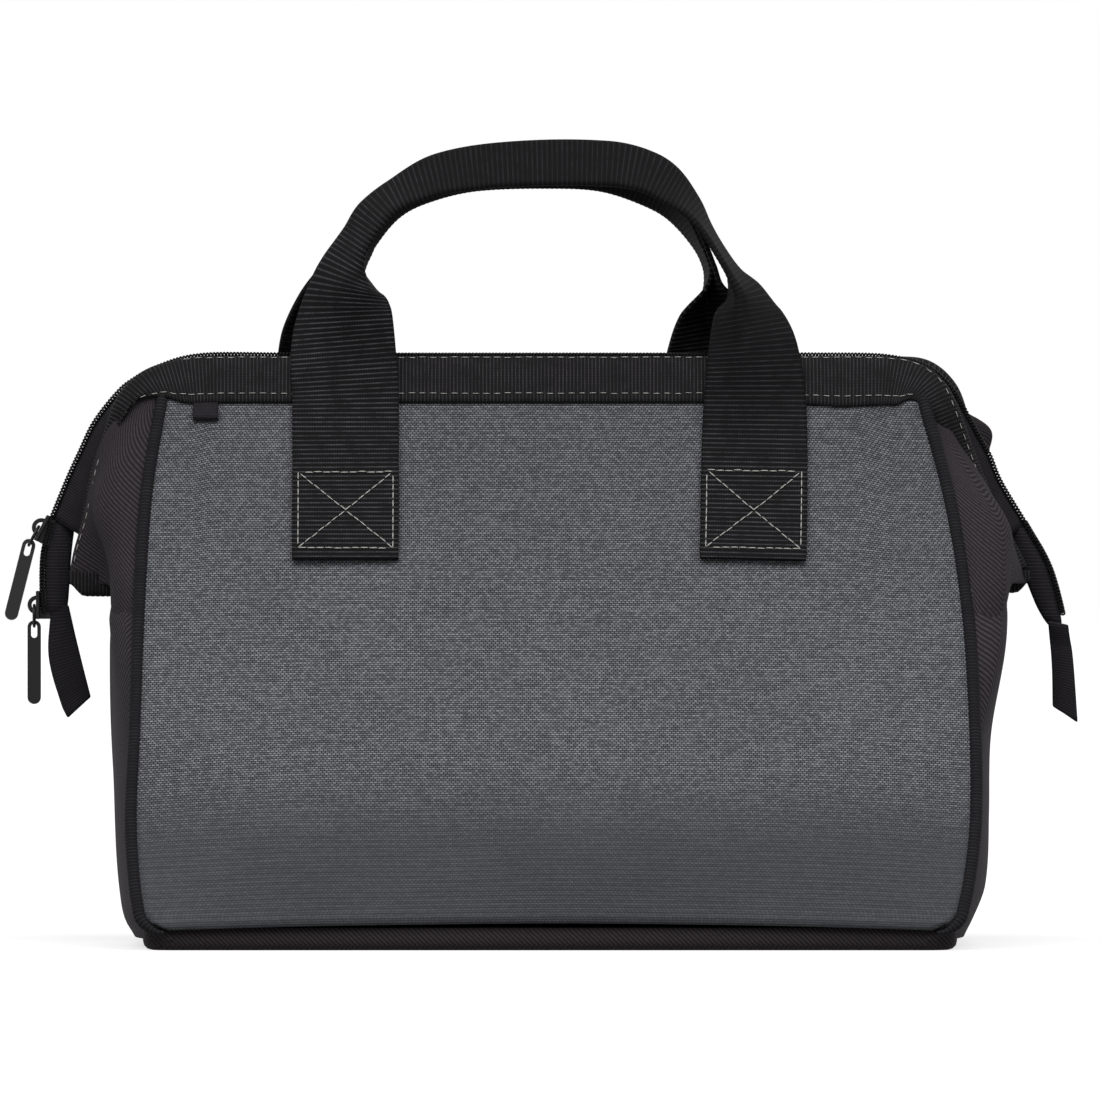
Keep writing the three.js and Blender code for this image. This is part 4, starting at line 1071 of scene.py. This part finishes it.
def add_tail(hand):
    """A flat tube, thinner at its ends and at its outer edge, with a row of teeth on each face."""
    side, rows = SIDES[hand], TAIL_ROWS[hand]
    low, high = rows[0][0], rows[-1][0]

    def place(u, v):
        z = mix(low, high, v)
        inner, outer = columns_at(rows, z)
        angle = 2 * math.pi * u
        across, depth = math.cos(angle), math.sin(angle)
        thick = 2.4 * min(1, 0.35 + 9 * v) * (1 - 0.25 * max(0, across))
        thick *= mix(0.3, 1, smooth((1 - v) / 0.3))
        ridge = 0.25 * math.sin(3 * across + 0.6) * abs(depth)
        x = mix(inner, outer, 0.5 + 0.5 * math.copysign(abs(across) ** 0.8, across))
        return side * x, -math.copysign(abs(depth) ** 0.75, depth) * (thick + ridge), z

    made = cloth_grid(28, 44, place, lambda u, v: (38 * v, 24 * u), closed=True)
    bmesh.ops.holes_fill(made, edges=[edge for edge in made.edges if edge.is_boundary])
    tail = f"{hand}_zip_tail"
    make_piece(f"{tail}_cloth", made, zip_tape_look, "mouth_ends", "zip_tape", tail)
    line = Line([(columns_at(rows, z)[1] + 0.9, z) for z in (151, 146, 140, 134, 128, 122, 117.5)])
    places = coil_places(line, 0, line.length, side, COIL_Y)
    places += coil_places(line, 0.75, line.length, side, -COIL_Y)
    add_coil(f"{hand}_tail", places, "mouth_ends")


for hand in SIDES:
    add_tail(hand)

# %% [markdown]
# ## End tabs
# Below each tail hangs a short tab of webbing, folded double and cut on the slant. It is a grid
# between its two edges, with a soft bow, and it is given the thickness of two layers.

# %% Tabs: two edges, from the top down
TAB_EDGES = {
    "left": ([(0, -178.2, 121), (0.4, -179.5, 103), (0.86, -174.9, 85.2), (1, -172.6, 80.4)],
             [(0, -172.6, 121), (0.5, -168, 102.5), (1, -164.4, 88)]),
    "right": ([(0, 178.4, 115.5), (0.5, 179.7, 100), (1, 180, 84.7)],
              [(0, 185.2, 114), (0.4, 187, 102), (1, 188.8, 78.8)]),
}


def add_tab(hand):
    first, second = TAB_EDGES[hand]

    def place(u, v):
        (x0, z0), (x1, z1) = columns_at(first, v), columns_at(second, v)
        bow = 0.8 * math.sin(math.pi * u) + 0.5 * math.sin(2.5 * v + 1)
        bow += 2.2 * (1 - smooth(v / 0.3)) if hand == "right" else -0.6
        return mix(x0, x1, u), -bow, mix(z0, z1, u)

    made = cloth_grid(10, 36, place, lambda u, v: (36 * v, 9 * u), (0, -1, 0))
    tab = make_piece(f"{hand}_tab_webbing", made, zip_tape_look, f"{hand}_end_tab", "black_webbing",
                     f"{hand}_end_tab", thickness=3.0, offset=0)
    rounded = tab.modifiers.new("rounded", "SUBSURF")
    rounded.levels = rounded.render_levels = 1


for hand in SIDES:
    add_tab(hand)

# %% [markdown]
# ## Sliders and pulls
# The two sliders are zinc castings with a bail, and each has a flat pull. Their forms are already
# right in the CAD model, so each is copied from it, cleaned of its inner edges, and given the small
# round edge of a casting. The enamel then has an edge that catches light.


# %% Softened copies of the metal pieces
def softened(node_name, name, body, edge):
    """A copy of a CAD node without its inner edges, and with its sharp edges rounded."""
    node = frame["nodes"][node_name]
    made = bmesh.new()
    copy = node.data.copy()
    copy.transform(node.matrix_world)
    made.from_mesh(copy)
    bpy.data.meshes.remove(copy)
    bmesh.ops.remove_doubles(made, verts=made.verts[:], dist=0.01 * MM)
    bmesh.ops.dissolve_limit(made, angle_limit=math.radians(4), verts=made.verts[:], edges=made.edges[:])
    sharp = [e for e in made.edges if len(e.link_faces) == 2 and e.calc_face_angle() > math.radians(40)]
    round_edges(made, sharp, edge, 2)
    piece = make_piece(name, made, enamel, body, "black_metal", node_name)
    piece.data.shade_smooth()
    piece.modifiers.new("even_light", "WEIGHTED_NORMAL").keep_sharp = True


for level in ("upper", "lower"):
    slider, pull = f"{level}_slider", f"{level}_pull"
    softened(slider, f"{slider}_body", slider, 0.5)
    softened(f"{pull}_ring", f"{slider}_bail", slider, 0.2)
    softened(pull, f"{pull}_plate", pull, 0.3)

# %% [markdown]
# ## Handles
# A handle is one length of 38 mm webbing. Its flat feet are sewn to the panel. Over the rim it
# folds in half along its middle, and the folded, doubled strap turns to face forward as a thinner,
# stiff grip. Each station on the fold line says how far the fold has closed and how far the strap
# has rolled. The right-hand riser closes gradually, like a trough, as it does in the photograph.

# %% Stations: across, height, y, roll, fold (degrees) and bend radius
STRAP_WIDTH = 38
STRAP_THICK = 1.5
HANDLE_BLEND = (208, 228)
FRONT_STRAP = [
    (-72.8, 138, -46, 0, 0, 8), (-72.8, 160, -35.6, 0, 0, 8), (-72.9, 180, -26.4, 0, 0, 8),
    (-73, 195, -20.6, 0, 0, 8), (-73.6, 206, -18, 3, 4, 8), (-74.2, 214, -17, 14, 16, 8),
    (-74.8, 222, -17, 29, 34, 8), (-75, 229, -17.4, 43, 62, 8), (-74.2, 235.6, -17.8, 53, 104, 7),
    (-72.2, 240.8, -17.6, 57, 140, 4.4), (-69.2, 245.8, -17.4, 59, 170, 2),
    (-65.8, 251, -17, 60, 180, 1.2), (-61, 257.8, -16.6, 58, 180, 1.2),
    (-54, 264.2, -15.8, 60, 180, 1.2), (-38.4, 269.6, -13.8, 46, 180, 1.2),
    (-13, 272.4, -12.5, 40, 180, 1.2), (20, 272.6, -12.5, 40, 180, 1.2),
    (33.6, 270.4, -13.4, 46, 180, 1.2), (43, 265.6, -15.4, 56, 180, 1.2),
    (49.6, 261.4, -17.4, 70, 180, 1.1), (54.8, 255.6, -18.8, 79, 180, 1), (60.2, 247.4, -20, 81, 180, 1),
    (65.4, 238.8, -20.6, 78, 168, 1.2), (69.4, 232.2, -21.2, 68, 142, 2), (70.8, 225, -22, 52, 106, 3.2),
    (72.4, 215, -24, 36, 74, 4.5), (73, 205, -25.2, 26, 54, 6), (73.1, 196, -25.6, 18, 38, 8),
    (73, 184, -27.6, 9, 20, 10), (72.8, 170, -32.4, 3, 7, 10), (72.6, 156, -37.4, 0, 0, 8),
    (72.2, 138, -46, 0, 0, 8),
]
REAR_STRAP = [
    (-60, 138, -46, 0, 0, 8), (-60, 160, -35.6, 0, 0, 8), (-60, 180, -26.4, 0, 0, 8),
    (-60, 195, -20.6, 2, 4, 8), (-60, 206, -18, 10, 20, 6), (-59.8, 215, -17.8, 24, 50, 5),
    (-58.6, 226, -17.8, 48, 104, 3), (-57.6, 234.4, -17.6, 74, 164, 1.4),
    (-56.8, 241.6, -17.4, 81, 180, 1), (-52.9, 250, -17, 79, 180, 1), (-43.2, 260.6, -15.6, 64, 180, 1),
    (-33, 266.2, -13.4, 48, 180, 1.1), (-18, 270.8, -12.8, 41, 180, 1.1),
    (0, 271.8, -12.5, 40, 180, 1.1), (25.6, 271, -13, 42, 180, 1.1), (40.6, 268, -14.4, 50, 180, 1.1),
    (53.6, 262.4, -16, 56, 180, 1.1), (63, 252.6, -17.2, 62, 180, 1.2),
    (70.6, 241.6, -17.8, 60, 158, 2.3), (76.4, 229, -17.8, 44, 98, 3), (78.4, 217, -17.4, 20, 42, 5),
    (79, 206, -18, 5, 10, 6), (79, 195, -20.6, 0, 0, 8), (79, 180, -26.4, 0, 0, 8),
    (79, 160, -35.6, 0, 0, 8), (79, 138, -46, 0, 0, 8),
]


class Strap:
    """Gives points of a folded strap from its stations."""

    def __init__(self, stations):
        self.marks = [0.0]
        for a, b in zip(stations, stations[1:]):
            self.marks.append(self.marks[-1] + math.dist(a[:3], b[:3]))
        self.tables = [list(zip(self.marks, column)) for column in zip(*stations)]
        self.length = self.marks[-1]

    def station(self, s):
        return [curve_through(table, s) for table in self.tables]

    def point(self, s, across, raised=0.0):
        """A point at a length, and at a distance from the fold: outer half below zero."""
        x, z, y, roll, fold, bend = self.station(s)
        before, after = self.station(max(0, s - 1)), self.station(min(self.length, s + 1))
        run = Vector((after[0] - before[0], 0, after[1] - before[1])).normalized()
        outward = Vector((-run.z, 0, run.x))
        back = Vector((0, 1, 0))
        roll, fold = math.radians(roll), math.radians(max(0, min(180, fold)))
        up = outward * math.cos(roll) + back * math.sin(roll)
        behind = back * math.cos(roll) - outward * math.sin(roll)
        fold_line = Vector((x, y, z))
        if across <= 0:
            return fold_line - up * across - behind * raised
        angle = min(across / bend, fold)
        arc = fold_line + behind * (bend * (1 - math.cos(angle))) - up * (bend * math.sin(angle))
        direction = -up * math.cos(angle) + behind * math.sin(angle)
        normal = behind * math.cos(angle) + up * math.sin(angle)
        return arc + direction * max(0.0, across - bend * fold) - normal * raised


# %% Make the handles
def add_handle(half, stations):
    """The strap's ribs are raised, and its feet face outward from the panel."""
    strap = Strap(stations)
    ribs = 2 * round(strap.length / RIB)

    def place(u, v):
        raised = 0.13 * (round(u * ribs) % 2) * (abs(v - 0.5) < 0.47)
        return strap.point(strap.length * u, STRAP_WIDTH * (v - 0.5), raised)

    made = cloth_grid(ribs, 26, place, lambda u, v: (strap.length * u, STRAP_WIDTH * v), half=half)
    feet = [face for face in made.faces if face.calc_center_median().z < 160 * MM]
    face_towards(made, (0, -1 if half == "front" else 1, 0), feet)
    blend = (f"{half}_panel", f"{half}_handle", *((0, 0, z * MM) for z in HANDLE_BLEND))
    make_piece(f"{half}_handle_strap", made, strap_webbing_look, blend, "black_webbing", f"{half}_handle",
               f"{half}_left_handle_foot", f"{half}_right_handle_foot", thickness=STRAP_THICK)
    return strap


straps = {"front": add_handle("front", FRONT_STRAP), "rear": add_handle("rear", REAR_STRAP)}
print("length of the front strap:", round(straps["front"].length))

# %% [markdown]
# ## Stitches
# A lockstitch shows as a row of short dashes of thread. One stitch is a small ball drawn out long,
# and it is repeated every 3.8 mm along each sewn line.


# %% One stitch, and rows of stitches
def stitch_mesh(length, width):
    made = bmesh.new()
    bmesh.ops.create_uvsphere(made, u_segments=6, v_segments=5, radius=1.0)
    bmesh.ops.scale(made, verts=made.verts[:], vec=(width * MM, width * 0.6 * MM, length / 2 * MM))
    mesh = bpy.data.meshes.new("stitch")
    made.to_mesh(mesh)
    made.free()
    return mesh


stitch = stitch_mesh(2.5, 0.22)
STITCH_PITCH = 3.8
STITCH_LINES = ((5.6, 3.75), (-8.6, 4.35))


def stitch_row(place, start, end, seed, pitch=STITCH_PITCH):
    """Places along place(s), from one length to another, a little uneven as real ones are."""
    uneven = random.Random(seed)
    places = []
    for i in range(int(abs(end - start) / pitch)):
        s = start + math.copysign((i + 0.5) * pitch, end - start)
        a, b = Vector(place(s - 1)), Vector(place(s + 1))
        drop = Vector((0, 0, uneven.uniform(-0.15, 0.15)))
        places.append(frame_matrix((a + b) / 2 + drop, b - a, (0, 1, 0)))
    return places


def add_stitches(name, half, places, body, shape=stitch):
    make_piece(f"{name}_stitches", copies(shape, places, half), thread, body, "black_webbing")


def ear_edge(side, z):
    """The sewn edge of the left gusset on its ear, at a height."""
    x, y = gusset_points(LEFT_GUSSET, z)[3]
    return side * (x - 1.0), y - 0.9, z


def add_rim_stitches(half):
    """Two rows of stitches run along the rim, and down each leg as far as they show."""
    places = []
    for i, (up, out) in enumerate(STITCH_LINES):
        places += stitch_row(lambda x: on_lean(x, up, out), -RIM_HALF, RIM_HALF, 3 + i)
    add_stitches(f"{half}_rim", half, places, f"{half}_panel")
    for side in (-1, 1):
        hand = corner_hand(half, side)
        ends = (60, 88) if LEG_LINES[half, side] is LEFT_LEG else (99, 62)
        places = []
        for i, (up, out) in enumerate(STITCH_LINES):
            places += stitch_row(lambda s: on_corner(half, side, s, up, out), 0, ends[i], 11 + i)
        if hand == "left":
            places += stitch_row(lambda z: ear_edge(side, z), 174, 134, 13)
        add_stitches(f"{half}_{hand}_leg", half, places, corner_blend(half, hand))


for half in HALVES:
    add_rim_stitches(half)

# %% [markdown]
# ## Stitched boxes of the feet
# Each foot is held by a box of stitches with a cross in it, 34 mm by 30 mm. The thread is thicker
# here and its stitches nearly touch, so a box reads as one pale line.

# %% Box and cross on each foot
box_stitch = stitch_mesh(3.0, 0.36)
BOX_LOW, BOX_HIGH, BOX_REACH = 4.2, 34, 16.9
BOX_PITCH = 3.15


def add_foot_stitches(half, near_end):
    """The box's corners are lengths along the strap and distances from its middle."""
    strap = straps[half]
    corners = [(BOX_LOW, -BOX_REACH), (BOX_LOW, BOX_REACH), (BOX_HIGH, BOX_REACH), (BOX_HIGH, -BOX_REACH)]
    lines = [(corners[i], corners[(i + 1) % 4]) for i in range(4)]
    lines += [(corners[0], corners[2]), (corners[1], corners[3])]
    places = []
    for i, (start, end) in enumerate(lines):
        length = math.dist(start, end)

        def place(t):
            s, across = (mix(a, b, t / length) for a, b in zip(start, end))
            return strap.point(s if near_end else strap.length - s, across, 0.25)

        places += stitch_row(place, 0, length, 20 + i, BOX_PITCH)
    hand = corner_hand(half, -1 if near_end else 1)
    add_stitches(f"{half}_{hand}_foot", half, places, f"{half}_panel", box_stitch)


for half in HALVES:
    for near_end in (True, False):
        add_foot_stitches(half, near_end)

# %% [markdown]
# ## Small loop
# A short folded tab of the same tape peeps out under the rim at the left. It is a grid folded once.


# %% Small loop
LOOP_SECTION = [(0, -4, 1.6), (0.2, -11, 2.6), (0.45, -17.8, 3.4), (0.5, -18.6, 4.1), (0.55, -17.8, 4.8),
                (0.8, -11.6, 3.3), (1, -4, 2.6)]
LOOP_LEFT, LOOP_RIGHT = -127.4, -118.4


def loop_place(u, v):
    return on_lean(mix(LOOP_LEFT, LOOP_RIGHT, u), *columns_at(LOOP_SECTION, v))


made = cloth_grid(8, 30, loop_place, lambda u, v: (38 * v, 9 * u))
make_piece("front_loop_tape", made, zip_tape_look, "front_panel", "black_webbing", "small_loop",
           thickness=0.9, offset=0)

# %% [markdown]
# ## Base
# The bag stands on a shallow tray of heavy black cloth, and a stiff board lies inside it. The tray
# is a box whose upright corners and lower edge are rounded.


# %% Base tray
def box_uv(made):
    """UV in millimetres from the side that each face looks to."""
    layer = made.loops.layers.uv.new("flat_cloth")
    for face in made.faces:
        look = [abs(c) for c in face.normal]
        skip = look.index(max(look))
        a, b = [i for i in range(3) if i != skip]
        for loop in face.loops:
            loop[layer].uv = (loop.vert.co[a] / MM, loop.vert.co[b] / MM)


def add_base():
    lo, hi = (Vector(corner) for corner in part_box("bottom_panel"))
    inset = Vector((2, 1, 0)) * MM
    lo, hi = lo + inset, hi - inset
    made = bmesh.new()
    bmesh.ops.create_cube(made, size=1.0)
    bmesh.ops.scale(made, verts=made.verts[:], vec=hi - lo)
    bmesh.ops.translate(made, verts=made.verts[:], vec=(lo + hi) / 2)
    upright = [e for e in made.edges if abs(e.verts[0].co.z - e.verts[1].co.z) > 4 * MM]
    round_edges(made, upright, 11, 6)
    low = [e for e in made.edges if all(v.co.z < lo.z + 0.1 * MM for v in e.verts)]
    round_edges(made, low, 3.2, 3)
    made.normal_update()
    box_uv(made)
    make_piece("base_tray", made, base_cloth_look, "base", "black_cloth", "bottom_panel")


add_base()
board_looks = frame["nodes"]["base_board"].data.materials
board_looks.clear()
board_looks.append(board)

# %% [markdown]
# ## Floor, light and camera
# The photograph is a plain packshot: white all round, soft light from above and in front, and a
# faint shadow on the floor. Two broad sun lamps give that, and the world is white to the camera.


# %% Floor, lights and world
def sun_light(name, azimuth, height, strength, width):
    """A soft lamp at a great distance. Azimuth 0 shines along +Y, and the angles are in degrees."""
    data = bpy.data.lights.new(name, "SUN")
    data.energy = strength
    data.angle = math.radians(width)
    lamp = bpy.data.objects.new(name, data)
    bpy.context.scene.collection.objects.link(lamp)
    lamp.rotation_euler = (math.radians(90 - height), 0, math.radians(azimuth))
    return lamp


def camera_ray(tree):
    """1 where the camera or a mirror-like surface looks, and 0 for soft light."""
    ray = add(tree, "LightPath").outputs
    looked = {0: ray["Is Camera Ray"], 1: ray["Is Glossy Ray"]}
    seen = add(tree, "Math", looked, operation="MAXIMUM")
    return add(tree, "Math", {0: seen, 1: ray["Is Transmission Ray"]}, operation="MAXIMUM")


made = bmesh.new()
bmesh.ops.create_grid(made, x_segments=1, y_segments=1, size=9.0)
floor_look, tree, shader = start_material("pale_studio_floor", 0.9)
tones = {"Factor": camera_ray(tree), "A": colour("#8c8c8c"), "B": colour("#9a9a9a")}
floor_tone = add(tree, "Mix", tones, data_type="RGBA")
tree.links.new(floor_tone.outputs["Result"], shader.inputs["Base Color"])
lift = add(tree, "Math", {0: camera_ray(tree), 1: 0.68}, operation="MULTIPLY")
shader.inputs["Emission Color"].default_value = (1, 1, 1, 1)
tree.links.new(lift.outputs[0], shader.inputs["Emission Strength"])
floor = finish_mesh(made, "floor", floor_look, smooth_faces=False)
lamps = [sun_light("left_key", 28, 52, 1.75, 40), sun_light("right_key", -30, 52, 1.65, 40)]

world = bpy.data.worlds.new("studio")
world.use_nodes = True
bpy.context.scene.world = world
tree = world.node_tree
strength = add(tree, "MapRange", {"Value": camera_ray(tree), "To Min": 0.4, "To Max": 1.0})
tree.nodes["Background"].inputs["Color"].default_value = (1, 1, 1, 1)
tree.links.new(strength.outputs[0], tree.nodes["Background"].inputs["Strength"])

# %% [markdown]
# ## Camera
# The picture frame is 391.5 mm wide where the panel stands, and its middle is 141 mm up. The lens
# is long, so the bag keeps nearly parallel lines, and the camera looks down by half a degree.

# %% Camera
FRAME_WIDTH, FRAME_MIDDLE = 0.3915, 0.141
DISTANCE, LOOK_DOWN = 7.0, math.radians(0.5)
camera_data = bpy.data.cameras.new("camera")
camera = bpy.data.objects.new("camera", camera_data)
bpy.context.scene.collection.objects.link(camera)
camera_data.sensor_width = 36
camera_data.lens = 36 * DISTANCE / FRAME_WIDTH
camera_data.clip_end = 20
aim = Vector((0, -0.04, FRAME_MIDDLE))
camera.location = aim + Vector((0, -DISTANCE * math.cos(LOOK_DOWN), DISTANCE * math.sin(LOOK_DOWN)))
camera.rotation_euler = (math.pi / 2 - LOOK_DOWN, 0, 0)
bpy.context.scene.camera = camera
bpy.context.scene.view_settings.view_transform = "Standard"
